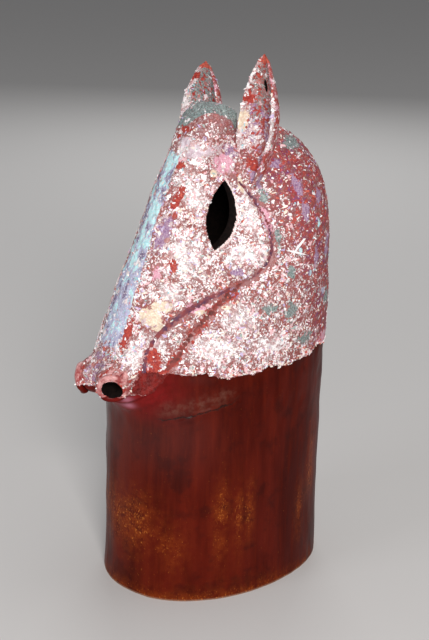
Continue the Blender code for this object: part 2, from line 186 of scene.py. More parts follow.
def egg(x, y, z, centre, radii, inset=0.0):
    """Ellipsoid: the root of the sum of (offset / radius)^2, less 1, in metres."""
    rx, ry, rz = (r - inset for r in radii)
    g = np.sqrt((np.abs(x - centre[0]) / rx) ** 2 + ((y - centre[1]) / ry) ** 2
                + ((z - centre[2]) / rz) ** 2)
    return (g - 1.0) * min(rx, ry, rz)


def lip(x, y, z, corner, front_y, heights, radius):
    """Roll of clay: distance to a half ellipse that runs round the muzzle, less the radius."""
    reach = corner[1] - front_y
    turn = np.sqrt((x / corner[0]) ** 2 + ((y - corner[1]) / reach) ** 2)
    forward = np.clip((corner[1] - y) / reach, 0.0, 1.0)
    height = heights[0] + (heights[1] - heights[0]) * forward
    return np.sqrt(((turn - 1.0) * corner[0]) ** 2 + (z - height) ** 2
                   + (np.maximum(y - corner[1], 0.0)) ** 2) - radius


def head_form(points, inset=0.0, relief=True):
    """All of the head at `points`; with `relief` off, only what the hollow follows."""
    x, y, z = np.moveaxis(points, -1, 0)
    reach = FACE_MELT - (FACE_MELT - POLL_MELT) * above(z, 0.40, 0.05)
    d = melt(neck_and_crown(x, y, z, inset), face_bar(x, y, z, inset), reach)
    d = melt(d, egg(x, y, z, *CHIN, inset), CHIN_MELT)
    if not relief:
        return d
    for side in (-1, 1):
        (cup_x, cup_y, cup_z), radii = NOSTRIL_CUP
        cup = egg(x, y, z, (side * cup_x, cup_y, cup_z + side * NOSTRIL_LIFT), radii)
        d = melt(d, cup, CUP_MELT)
    d = melt(d, lip(x, y, z, *UPPER_LIP), LIP_MELT)
    return melt(d, lip(x, y, z, *LOWER_LIP), LIP_MELT)


print("the heart lies", round(float(-head_form(HEART[None])[0]) * 1000), "mm deep in the form")

# %% [markdown]
# ## From recipe to surface
# Every point of the head can be seen from one spot inside it. So the surface is a function of
# two parameters, the turn and the tilt of a ray from that spot, and halving the ray's length
# again and again finds where it leaves the clay. The rows are then spread evenly along each
# column, so the plain neck gets few and the head gets many.

# %% Rays and grids
LONGEST_RAY, HALVINGS = 0.45, 22
FACE_CROWDING = 0.30                       # how far the columns draw together at the face
HEAD_FROM, HEAD_BLEND = 0.165, 0.04        # the rows draw together above this height


def reach_surface(starts, directions, **settings):
    """Length of each ray, found by halving the span between inside and outside again and again."""
    near = np.zeros(directions.shape[:-1])
    far = np.full(directions.shape[:-1], LONGEST_RAY)
    for _ in range(HALVINGS):
        middle = (near + far) / 2
        inside = head_form(starts + directions * middle[..., None], **settings) < 0
        near = np.where(inside, middle, near)
        far = np.where(inside, far, middle)
    return (near + far) / 2


def turns(count):
    """Angles of `count` even steps once round."""
    return np.linspace(0, 2 * math.pi, count, endpoint=False)


def star_grid(columns, rows, floor, neck_share, **settings):
    """HEART + ray(turn, tilt) * reach(turn, tilt); tilt follows the length run along a column."""
    turn = turns(columns)
    turn = turn - FACE_CROWDING * np.sin(turn)
    level = np.stack([np.sin(turn), -np.cos(turn), np.zeros(columns)], -1)
    foot = HEART * [1, 1, 0] + [0, 0, floor]
    lowest = np.arctan2(reach_surface(foot, level, **settings), HEART[2] - floor)

    def rays(tilt):
        return level[:, None] * np.sin(tilt)[..., None] - np.cos(tilt)[..., None] * [0, 0, 1]

    def surface(tilt):
        return HEART + rays(tilt) * reach_surface(HEART, rays(tilt), **settings)[..., None]

    tilt = lowest[:, None] + np.linspace(0, 1, rows * 3 // 2) * (math.pi - lowest[:, None])
    fine = surface(tilt)
    steps = np.linalg.norm(np.diff(fine, axis=1), axis=-1)
    steps *= neck_share + (1 - neck_share) * ease((fine[:, 1:, 2] - HEAD_FROM) / HEAD_BLEND)
    run = np.concatenate([np.zeros((columns, 1)), np.cumsum(steps, axis=1)], axis=1)
    wanted = np.linspace(0, 1, rows + 1)[:-1]
    tilt = np.array([np.interp(wanted * r[-1], r, t) for r, t in zip(run, tilt)])
    return surface(tilt).swapaxes(0, 1)


def grid_normals(grid):
    """Unit cross product of the steps round a ring and up a column, which points outwards."""
    round_step = np.roll(grid, -1, axis=1) - np.roll(grid, 1, axis=1)
    up_step = np.gradient(grid, axis=0)
    normal = np.cross(round_step, up_step)
    return normal / np.maximum(np.linalg.norm(normal, axis=-1, keepdims=True), 1e-12)


UPWARD = np.array([0.0, 0.0, 1.0])
print("the crown is", round(float(reach_surface(HEART, UPWARD)) * 1000), "mm above the heart")

# %% Meshes from arrays
def new_object(name, points, face_arrays):
    """Object whose mesh is (n, 3) points and any number of (m, k) arrays of corner numbers."""
    mesh = bpy.data.meshes.new(name)
    corners = np.concatenate([faces.ravel() for faces in face_arrays]).astype(np.int32)
    counts = np.concatenate([np.full(len(faces), faces.shape[1]) for faces in face_arrays])
    mesh.vertices.add(len(points))
    mesh.vertices.foreach_set("co", np.ascontiguousarray(points, np.float32).ravel())
    mesh.loops.add(len(corners))
    mesh.loops.foreach_set("vertex_index", corners)
    mesh.polygons.add(len(counts))
    starts = np.concatenate([[0], np.cumsum(counts)[:-1]]).astype(np.int32)
    mesh.polygons.foreach_set("loop_start", starts)
    mesh.update(calc_edges=True)
    mesh.shade_smooth()
    made = bpy.data.objects.new(name, mesh)
    bpy.context.scene.collection.objects.link(made)
    return made


def closed_loft(name, grid, foot=None, apex=None):
    """Closed skin over rings of points, with a fan of triangles to a point at each end."""
    rows, columns = grid.shape[:2]
    number = np.arange(rows * columns).reshape(rows, columns)
    after = np.roll(number, -1, axis=1)
    quads = np.stack([number[:-1], after[:-1], after[1:], number[1:]], -1).reshape(-1, 4)
    foot = grid[0].mean(0) if foot is None else foot
    apex = grid[-1].mean(0) if apex is None else apex
    foot_number = np.full(columns, rows * columns)
    apex_number = foot_number + 1
    fans = np.concatenate([np.stack([after[0], number[0], foot_number], -1),
                           np.stack([number[-1], after[-1], apex_number], -1)])
    points = np.concatenate([grid.reshape(-1, 3), [foot, apex]])
    return new_object(name, points, [quads, fans])


# %% [markdown]
# ## Marks of the hand
# The cheek stands a little proud of the neck, along a line pressed with a blunt tool. A second
# pressed line marks the mouth, and a rough seam crosses the neck under the jaw. The paint on
# the head is a thick crust: it ends in a ragged step above the neck. All of this is height
# added along the surface's normal, so it is real shape and not only shading.

# %% Pressed lines
LINE_STEPS = 60


def unit(vectors):
    """Each vector divided by its own length."""
    return vectors / np.linalg.norm(vectors, axis=-1, keepdims=True)


def smooth_line(points, steps):
    """Cubic Hermite curve through `points`, its slopes taken from the points on either side."""
    points = np.array(points)
    slopes = np.gradient(points, axis=0)
    at = np.linspace(0, len(points) - 1, steps)
    i = np.minimum(at.astype(int), len(points) - 2)
    t = (at - i)[:, None]
    return ((2 * t ** 3 - 3 * t ** 2 + 1) * points[i] + (t ** 3 - 2 * t ** 2 + t) * slopes[i]
            + (3 * t ** 2 - 2 * t ** 3) * points[i + 1] + (t ** 3 - t ** 2) * slopes[i + 1])


def from_line(points, line):
    """From the side: distance, positive towards the face, plain distance, and share of the line run."""
    curve = smooth_line(line, LINE_STEPS)
    step_y, step_z = np.gradient(curve, axis=0).T
    off_y = points[..., 1, None] - curve[:, 0]
    off_z = points[..., 2, None] - curve[:, 1]
    nearest = np.argmin(off_y ** 2 + off_z ** 2, axis=-1)[..., None]
    across = (step_z * off_y - step_y * off_z) / np.hypot(step_y, step_z)
    past = np.sqrt(np.take_along_axis(off_y ** 2 + off_z ** 2, nearest, -1)[..., 0])
    return np.take_along_axis(across, nearest, -1)[..., 0], past, nearest[..., 0] / (LINE_STEPS - 1)


def ripples(points, size, seed, waves=26):
    """Sum of sine waves in random directions, each about `size` long, scaled to about -1 to 1."""
    random = np.random.default_rng(seed)
    direction = unit(random.normal(size=(waves, 3)))
    pace = 2 * math.pi / (size * random.uniform(0.7, 1.5, waves))
    phase = random.uniform(0, 2 * math.pi, waves)
    total = np.zeros(points.shape[:-1])
    for way, speed, start in zip(direction, pace, phase):
        total += np.sin(points @ (way * speed) + start)
    return total / math.sqrt(waves)


for label, line in (("jaw", JAW_LINE), ("mouth", MOUTH_LINE)):
    curve = smooth_line(line, LINE_STEPS)
    run = np.linalg.norm(np.diff(curve, axis=0), axis=1).sum()
    print("the", label, "line runs", round(run * 1000), "mm")

# %% Where the crust of paint ends
CRUST_EDGE_Z, CHIN_EDGE_Z = 0.2385, 0.219
CRUST_THICKNESS, CRUST_STEP = 0.0013, 0.0022


def crust_height(points):
    """Metres above the crust's ragged lower edge, negative on the bare neck and throat."""
    x, y, z = np.moveaxis(points, -1, 0)
    turn = np.arctan2(x, -y)
    edge = (CRUST_EDGE_Z + 0.0020 * np.sin(3 * turn + 1.0) + 0.0014 * np.sin(8 * turn + 2.0)
            + 0.0012 * np.sin(17 * turn + 0.5) + 0.0010 * ripples(points, 0.006, 5))
    on_neck = z - edge
    jaw, _, _ = from_line(points, JAW_LINE)
    on_face = np.minimum(jaw + 0.004, z - CHIN_EDGE_Z - 0.05 * np.maximum(0.032 - np.abs(x), 0.0))
    return np.maximum(on_neck, on_face + 0.0008 * ripples(points, 0.007, 6))


def hand_relief(points):
    """Height to add along the normal: cheek + crust + lumps - pressed lines - seam."""
    x, y, z = np.moveaxis(points, -1, 0)
    jaw, _, _ = from_line(points, JAW_LINE)
    on_side = above(np.abs(x), 0.018, 0.02)
    cheek = ease(jaw / 0.012 + 0.5) * on_side * above(z, 0.215, 0.02) * below(z, 0.44, 0.04)
    height = CHEEK_LIFT * cheek - 0.0008 * above(z, 0.03, 0.05)
    for line, depth, width in ((JAW_LINE[1:-1], 0.0026, 0.0031), (MOUTH_LINE, 0.0022, 0.0026)):
        _, off, run = from_line(points, line)
        fullness = ease(np.minimum(run, 1 - run) / 0.16) * on_side
        height = height - depth * fullness * swell(off, 0.0, width)
        height = height + 0.25 * depth * fullness * swell(off, 2.4 * width, width)
    crust = ease(crust_height(points) / CRUST_STEP)
    height = height + crust * (CRUST_THICKNESS + 0.00030 * ripples(points, 0.0065, 1)
                               + 0.00022 * ripples(points, 0.0042, 2))
    _, off, run = from_line(points, SCAR_LINE)
    off = off + 0.0008 * ripples(points, 0.007, 3)
    seam = (x > 0.02) * ease(np.minimum(run, 1 - run) / 0.12)
    height = height + seam * (0.0006 * swell(off, 0.0040, 0.0028)
                              - 0.0006 * swell(off, 0.0, 0.0020))
    return height + 0.00045 * ripples(points, 0.050, 4) + 0.00015 * ripples(points, 0.016, 7)


print("the crust stands", round(CRUST_THICKNESS * 1000, 1), "mm proud")

# %% Outside and hollow
SKIN_GRID, HOLLOW_GRID = (330, 218), (110, 56)
HOLLOW_FLOOR = -0.01                       # the hollow is cut from a little below the foot

skin = star_grid(*SKIN_GRID, 0.0, 0.12)
skin_normal = grid_normals(skin)
skin = skin + skin_normal * hand_relief(skin)[..., None]
skin[0, :, 2] = 0.0
clay = closed_loft("horse_head_clay", skin, foot=[0.0, 0.0, 0.0])

hollow_grid = star_grid(*HOLLOW_GRID, HOLLOW_FLOOR, 0.3, inset=WALL, relief=False)
ceiling = HEART + [0, 0, reach_surface(HEART, UPWARD, inset=WALL, relief=False)]
hollow = closed_loft("hollow", hollow_grid, foot=[0.0, 0.0, HOLLOW_FLOOR], apex=ceiling)
print("skin", skin.shape[:2], "hollow", hollow_grid.shape[:2])

# %% [markdown]
# ## Ears and nostrils
# Each ear is a leaf of clay curled into a trough. Its section is a crescent: an outer and an
# inner half ellipse joined by round rims, carried up a straight line while it swells and then
# draws in to the tip. The nostrils are rings of rolled clay, so they are a lumpy torus.

# %% Ears
EAR_STEPS = 64
EAR_SECTIONS = [            # share of height, half width, depth of the curl, wall
    (-0.06, 0.0070, 0.0090, 0.0060),
    (0.10, 0.0128, 0.0155, 0.0058),
    (0.30, 0.0182, 0.0205, 0.0052),
    (0.50, 0.0188, 0.0200, 0.0048),
    (0.68, 0.0160, 0.0150, 0.0045),
    (0.83, 0.0110, 0.0085, 0.0042),
    (0.94, 0.0058, 0.0042, 0.0038),
]


def ear_axes(side, base, tip, facing):
    """The ear's base, its rise, and unit vectors to its open front and across it."""
    base, rise = np.array(base), np.subtract(tip, base)
    upward = rise / np.linalg.norm(rise)
    front = np.array([side * math.sin(facing), -math.cos(facing), 0.0])
    front = front - upward * (front @ upward)
    front /= np.linalg.norm(front)
    return base, rise, front, np.cross(upward, front)


def ear_leaf(name, side, base, tip, facing, breadth):
    """Crescent (w cos t, -c sin t) outside, its copy less the wall inside, half circles at the rims."""
    base, rise, front, across = ear_axes(side, base, tip, facing)
    share, width, curl, wall = smooth_line(EAR_SECTIONS, EAR_STEPS).T[..., None]
    width = width * breadth
    arc = np.linspace(0, math.pi, 25)
    lip_turn = np.linspace(0, math.pi, 6)[1:-1]
    inner_width, inner_curl = width - 0.6 * wall, np.maximum(curl - wall, 0.0006)
    rim_middle, rim_radius = (width + inner_width) / 2, (width - inner_width) / 2
    side_ways = np.concatenate([width * np.cos(arc), -rim_middle - rim_radius * np.cos(lip_turn),
                                -inner_width * np.cos(arc),
                                rim_middle - rim_radius * np.cos(lip_turn)], axis=1)
    forward = np.concatenate([-curl * np.sin(arc), 1.4 * rim_radius * np.sin(lip_turn),
                              -inner_curl * np.sin(arc), 1.4 * rim_radius * np.sin(lip_turn)], axis=1)
    rings = (base + rise * share[..., None] + across * side_ways[..., None]
             + front * forward[..., None])
    rings = rings + grid_normals(rings) * (0.00028 * ripples(rings, 0.009, 11))[..., None]
    return closed_loft(name, rings, apex=np.array(tip))


left_ear = ear_leaf("left_ear", 1, *LEFT_EAR)
right_ear = ear_leaf("right_ear", -1, *RIGHT_EAR)
print("ears of", len(left_ear.data.polygons), "faces each")

# %% Nostrils, eyes and slit
def nostril_frame(side):
    """Centre of the ring, the way that it opens, and two unit vectors in its plane."""
    x, y, z = NOSTRIL_PLACE
    opens = np.array([side * math.sin(NOSTRIL_YAW) * math.cos(NOSTRIL_DIP),
                      -math.cos(NOSTRIL_YAW) * math.cos(NOSTRIL_DIP), -math.sin(NOSTRIL_DIP)])
    right = np.cross(opens, [0.0, 0.0, 1.0])
    right /= np.linalg.norm(right)
    return np.array([side * x, y, z + side * NOSTRIL_LIFT]), opens, right, np.cross(opens, right)


def swept_rings(centre, opens, right, up, along, radius, columns=40):
    """Rings centre + opens * along + radius * (right cos t + up sin t), one for each step."""
    turn = turns(columns)
    circle = np.cos(turn)[:, None] * right + np.sin(turn)[:, None] * up
    return centre + opens * np.reshape(along, (-1, 1, 1)) + circle * np.reshape(radius, (-1, 1, 1))


def nostril_coil(name, side):
    """Torus: a small circle carried round the ring, its ends joined, with the potter's lumps."""
    turn = turns(16)
    along, radius = NOSTRIL_COIL * np.sin(turn), NOSTRIL_RING + NOSTRIL_COIL * np.cos(turn)
    rings = swept_rings(*nostril_frame(side), along, radius, 52)
    number = np.arange(rings.shape[0] * rings.shape[1]).reshape(rings.shape[:2])
    beside, next_ring = np.roll(number, -1, axis=1), np.roll(number, -1, axis=0)
    beyond = np.roll(next_ring, -1, axis=1)
    quads = np.stack([number, beside, beyond, next_ring], -1).reshape(-1, 4)
    rings = rings + (0.00030 * ripples(rings, 0.012, 12))[..., None]
    return new_object(name, rings.reshape(-1, 3), [quads])


def almond(name, length, width, depth, matrix, steps=25):
    """Prism whose outline is two arcs of radius length / (2 sin a), with tan(a/2) = width / length."""
    half_angle = 2 * math.atan(width / length)
    radius = length / 2 / math.sin(half_angle)
    arc = np.linspace(-half_angle, half_angle, steps)
    bulge, height = radius * (np.cos(arc) - math.cos(half_angle)), radius * np.sin(arc)
    outline = np.concatenate([np.stack([bulge, height], -1),
                              np.stack([-bulge, height], -1)[-2:0:-1]])
    ends = np.array([-depth / 2, depth / 2])
    rings = np.empty((2, len(outline), 3))
    rings[..., 0], rings[..., 1:] = ends[:, None], outline
    made = closed_loft(name, rings)
    made.data.transform(matrix)
    return made


bores, coils, eyes = [], [], []
for side, label in ((1, "left"), (-1, "right")):
    coils.append(nostril_coil(label + "_coil", side))
    bore = swept_rings(*nostril_frame(side), np.array(BORE_REACH), np.array(BORE_RADII))
    bores.append(closed_loft(label + "_bore", bore))
    place = Matrix.Translation((side * 0.060, *EYE_CENTRE)) @ Matrix.Rotation(EYE_TILT, 4, "X")
    eyes.append(almond(label + "_eye", EYE_LENGTH, EYE_WIDTH, 0.08, place))
in_ear = Matrix.Translation(SLIT_CENTRE) @ Matrix.Rotation(LEFT_EAR[2] - math.pi / 2, 4, "Z")
slit = almond("slit", SLIT_LENGTH, SLIT_WIDTH, 0.02, in_ear, 9)
print("cutters:", [cutter.name for cutter in (*eyes, *bores, slit)])

# %% [markdown]
# ## One piece of clay
# The parts are joined and the openings cut with Booleans, as slip and a knife would do
# it. The result is read back as a plain mesh and moved from the neck's axis to its place in
# the frame, which leaves the object itself at the origin.

# %% Join and cut
added, cut_away = (left_ear, right_ear, *coils), (hollow, *eyes, *bores, slit)
for other in added + cut_away:
    step = clay.modifiers.new(other.name, "BOOLEAN")
    step.operation = "UNION" if other in added else "DIFFERENCE"
    step.object, step.solver = other, "MANIFOLD"
shaped = bpy.data.meshes.new_from_object(
    clay.evaluated_get(bpy.context.evaluated_depsgraph_get()))
clay.modifiers.clear()
clay.data = shaped
for other in added + cut_away:
    bpy.data.objects.remove(other)
print("clay:", len(shaped.vertices), "vertices,", len(shaped.polygons), "faces")

# %% Read points and faces back
SHARP_FROM = math.radians(48)


def read(items, field, kind, width=3):
    """Array of `width` numbers for each item of a mesh."""
    found = np.empty(len(items) * width, kind)
    items.foreach_get(field, found)
    return found.reshape(-1, width)


spots = read(shaped.vertices, "co", np.float32).astype(float)       # about the neck's axis
shaped.vertices.foreach_set("co", (spots + NECK_AXIS).astype(np.float32).ravel())
shaped.shade_smooth()
shaped.set_sharp_from_angle(angle=SHARP_FROM)
shaped.update()
shaped.calc_loop_triangles()
triangles = read(shaped.loop_triangles, "vertices", np.int32)
print("clay has", len(triangles), "triangles")
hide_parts("horse_head")
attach(clay, "root")

# %% [markdown]
# ## Where each finish lies
# The painter worked in patches: blue and lilac down the nose, cream and pink on the cheek,
# grey-green low on the back, and brick red in the pressed lines. The top of the poll faces up:
# grey there is painted shade, and the grey-green band along the crest is painted sky reflection.
# Dark mauve in the pressed lines is painted shade over the red paint. White paint and mica crowd
# where light shines back brightest, so they are partly painted highlight. Each patch is stored
# as a number on every point of the clay, from 0 to 1. The materials then tear its edge with
# noise, so it looks daubed. Most patches lie on both sides of the head, and the noise makes the
# two sides differ.

# %% Places of the daubs
# Each daub is a soft spot: its place across, its height, its half width and its half height, all
# in millimetres. The place across is taken backwards on the flanks and neck, and to the horse's
# left on the face.
FLANK_DAUBS = {
    "teal": [(42, 326, 5, 6), (58, 372, 5, 8), (71, 300, 7, 7), (30, 348, 4, 7)],
    "lilac": [(-14, 439, 8, 8), (-34, 313, 9, 5), (-108, 243, 5, 6), (36, 408, 6, 12),
              (40, 385, 5, 11), (62, 395, 6, 9), (22, 428, 8, 5), (75, 345, 7, 14),
              (-28, 333, 8, 4), (52, 340, 4, 10), (0, 415, 4, 10)],
    "pink": [(-23, 429, 12, 11), (-66, 300, 10, 5), (3, 380, 4, 15), (80, 248, 20, 8),
             (-92, 335, 5, 8)],
    "cream": [(-104, 293, 11, 10), (-93, 303, 11, 6), (-98, 284, 7, 5), (-63, 297, 6, 3),
              (-64, 406, 4, 4), (-69, 389, 5, 3), (-34, 421, 4, 4), (-40, 300, 5, 2),
              (-12, 410, 3, 9)],
    "sage_and_poll_reflection": [(20, 292, 10, 12), (42, 260, 16, 8), (-2, 296, 9, 7), (54, 442, 18, 7),
             (80, 290, 9, 12), (4, 402, 4, 12), (20, 330, 5, 10), (10, 365, 3, 14)],
    "brick": [(-72, 393, 5, 12), (5, 426, 9, 7), (-105, 255, 7, 11), (-107, 240, 16, 12),
              (-94, 231, 16, 7), (-80, 340, 4, 8)],
    # white: white paint and mica where light shines back brightest, partly painted highlight
    "white_and_highlight": [(-48, 440, 11, 6), (-68, 346, 16, 20), (-54, 402, 9, 18), (-20, 350, 16, 10),
              (-12, 385, 7, 22), (-55, 264, 24, 12), (-30, 290, 16, 13), (-85, 314, 10, 8),
              (-104, 268, 9, 10), (-4, 262, 20, 9), (-120, 259, 10, 14)],
    "lip": [(-107, 230, 26, 15), (-90, 227, 19, 12)],
}
FACE_DAUBS = {
    "lilac": [(6, 392, 5, 10)],
    "pink": [(6, 432, 6, 4)],
    "brick": [(12, 427, 6, 4), (0, 458, 10, 3), (-8, 450, 5, 3)],
    "white_and_highlight": [(10, 444, 14, 8), (18, 270, 8, 12), (22, 420, 8, 12)],
}
BESIDE_STRIP_DAUBS = {
    "lilac": [(19.5, 368, 6.5, 18)],
    "brick": [(20.5, 398, 4.5, 14), (18.5, 276, 4.5, 18)],
}
BROW_DAUBS = {"pearl": [(19, 442, 10.5, 8.5), (6, 447, 8, 6)]}
NECK_DAUBS = {
    # glint: a painted highlight, pale pink, below the nostril
    "glint": [(-127, 214, 4, 3), (-121, 205, 3, 3)],
    "sheen": [(-100, 172, 40, 34)],
    "amber": [(-112, 78, 12, 34), (-52, 86, 8, 44), (-34, 82, 6, 36), (-22, 92, 6, 30),
              (68, 108, 8, 42), (48, 70, 8, 30), (-94, 56, 12, 20)],
}


def spot(across, up, middle_across, middle_up, half_width, half_height):
    """exp(-a^2 - b^2), where a and b count half widths and half heights from the middle."""
    return np.exp(-((across - middle_across) / half_width) ** 2
                  - ((up - middle_up) / half_height) ** 2)


def daubs_on(weight, across, up, daubs):
    """For each paint, `weight` times the highest of its spots."""
    spots_of = {name: [spot(across, up, *place) for place in np.array(places) / 1000]
                for name, places in daubs.items()}
    return {name: weight * np.max(layers, axis=0) for name, layers in spots_of.items()}


print("daubs on each flank:", sum(len(places) for places in FLANK_DAUBS.values()))

# %% Where a point lies on an ear, an eye or a nostril
def ear_place(points, side, base, tip, facing, breadth):
    """On the ear: share of its height, place across it from -1 to 1, and share of its curl."""
    base, rise, front, across = ear_axes(side, base, tip, facing)
    off = points - base
    share = off @ rise / (rise @ rise)
    shares, widths, curls, _ = smooth_line(EAR_SECTIONS, EAR_STEPS).T
    width, curl = np.interp(share, shares, widths) * breadth, np.interp(share, shares, curls)
    near = (share > 0.10) & (share < 1.1) & (np.abs(off @ across) < width + 0.004)
    near &= (np.abs(off @ front) < curl + 0.004) & (head_form(points) > 0.0012)
    return near, share, off @ across / width, off @ front / curl


def past_almond(offset, lean, length, width):
    """Metres outside an almond's edge, |b| - (sqrt(R^2 - h^2) - R + w/2), and whether b > 0."""
    across = offset[:, 0] * math.cos(lean) + offset[:, 1] * math.sin(lean)
    height = offset[:, 1] * math.cos(lean) - offset[:, 0] * math.sin(lean)
    radius = (length ** 2 + width ** 2) / (4 * width)
    level = np.minimum(np.abs(height), length / 2)
    half = np.sqrt(radius ** 2 - level ** 2) - radius + width / 2
    beyond = np.maximum(np.abs(height) - length / 2, 0.0)
    outside = np.hypot(np.abs(across) - half, beyond) * np.sign(np.abs(across) - half + beyond)
    return outside, across > 0


def past_eye(points):
    return past_almond(points[:, 1:] - EYE_CENTRE, EYE_TILT, EYE_LENGTH, EYE_WIDTH)


def about_nostril(points, side):
    """Distance along the nostril's axis, positive outwards, and distance from that axis."""
    centre, opens, _, _ = nostril_frame(side)
    off = points - centre
    along = off @ opens
    return along, np.linalg.norm(off - along[:, None] * opens, axis=1)


print("points of the clay on the left ear:", int(ear_place(spots, 1, *LEFT_EAR)[0].sum()))

# %% Masks on the clay
def line_masks(points):
    """exp(-(distance / width)^2) about the mouth line, the jaw line, and a wider band on the jaw."""
    on_side = above(np.abs(points[:, 0]), 0.018, 0.02)
    masks = []
    for line, width in ((MOUTH_LINE, 0.0038), (JAW_LINE[1:-1], 0.0038), (JAW_LINE[1:-1], 0.0062)):
        masks.append(swell(from_line(points, line)[1], 0.0, width) * on_side)
    return masks


def coil_masks(points):
    """On the nostrils' coils, and in a thin ring round their foot."""
    coils_at, feet = np.zeros((2, len(points)))
    for side in (1, -1):
        along, from_axis = about_nostril(points, side)
        outside = np.hypot(from_axis - NOSTRIL_RING, along) - NOSTRIL_COIL
        coils_at = np.maximum(coils_at, ease(1.0 - outside / 0.002))
        feet = np.maximum(feet, swell(outside, 0.0028, 0.0014))
    return coils_at, feet


def finish_ear(points, plan, cover, side, ear):
    """Writes one ear's own patches over the plan, and gives back the share of mica."""
    near, share, across, forward = ear_place(points, side, *ear)
    left = side > 0
    # the trough, the pale line behind it with the front rim, and the outer side
    trough = near * ease((0.90 - np.hypot(across, forward)) / 0.06) * below(forward, 0.0, 0.10)
    line = near * above(forward, -0.14, 0.08) * (1 - trough) * (across > 0)
    line = line * below(share, 0.72, 0.10) * above(share, 0.20, 0.08)
    rim = np.maximum(line * (1.0 if left else 0.3), near * (across < -0.55) * (forward > -0.30))
    outer = near * (1 - trough) * (1 - rim)
    # pale paint low in the trough, red towards the tip, and cream on the left ear alone
    upper = above(share, 0.40, 0.10) * trough
    low_end = below(share, 0.50, 0.14) if left else below(across, -0.72, 0.10)
    pale_wall = trough * below(across, -0.30, 0.15) * above(share, 0.05, 0.1) * low_end
    red_at = 0.63 if left else 0.84
    red_spot = near * spot(across, share, -0.80, red_at, 0.22, 0.05)
    cream_spot = near * spot(across, share, -0.90, 0.44, 0.22, 0.11)
    plan["tip"] = np.maximum(plan["tip"], near * above(share, 0.90, 0.06))
    patches = {"sage_and_poll_reflection": (0.54 if left else 0.66) * trough * above(share, 0.3, 0.2),
               "lilac": 0.50 * trough * below(share, 0.70, 0.2),
               "brick": np.maximum(0.41 * trough, np.maximum(red_spot, 0.47 * outer)),
               "cream": 0.9 * cream_spot * left, "pearl": 0.0, "teal": 0.0,
               "white_and_highlight": np.maximum(0.8 * rim, pale_wall), "pink": 0.42 * outer, "back": 0.3 * outer}
    for name, value in patches.items():
        plan[name] = np.where(near, value, plan[name])
    return np.where(near, 0.36 - 0.16 * upper + 0.45 * pale_wall + 0.40 * rim - 0.6 * red_spot
                    - 0.16 * outer - 0.9 * plan["tip"], cover)


BARE_OF_MICA = ("sage_and_poll_reflection", "lilac", "pink", "teal", "cream", "pearl", "brick", "tip", "coil", "groove",
                "rim", "lip")


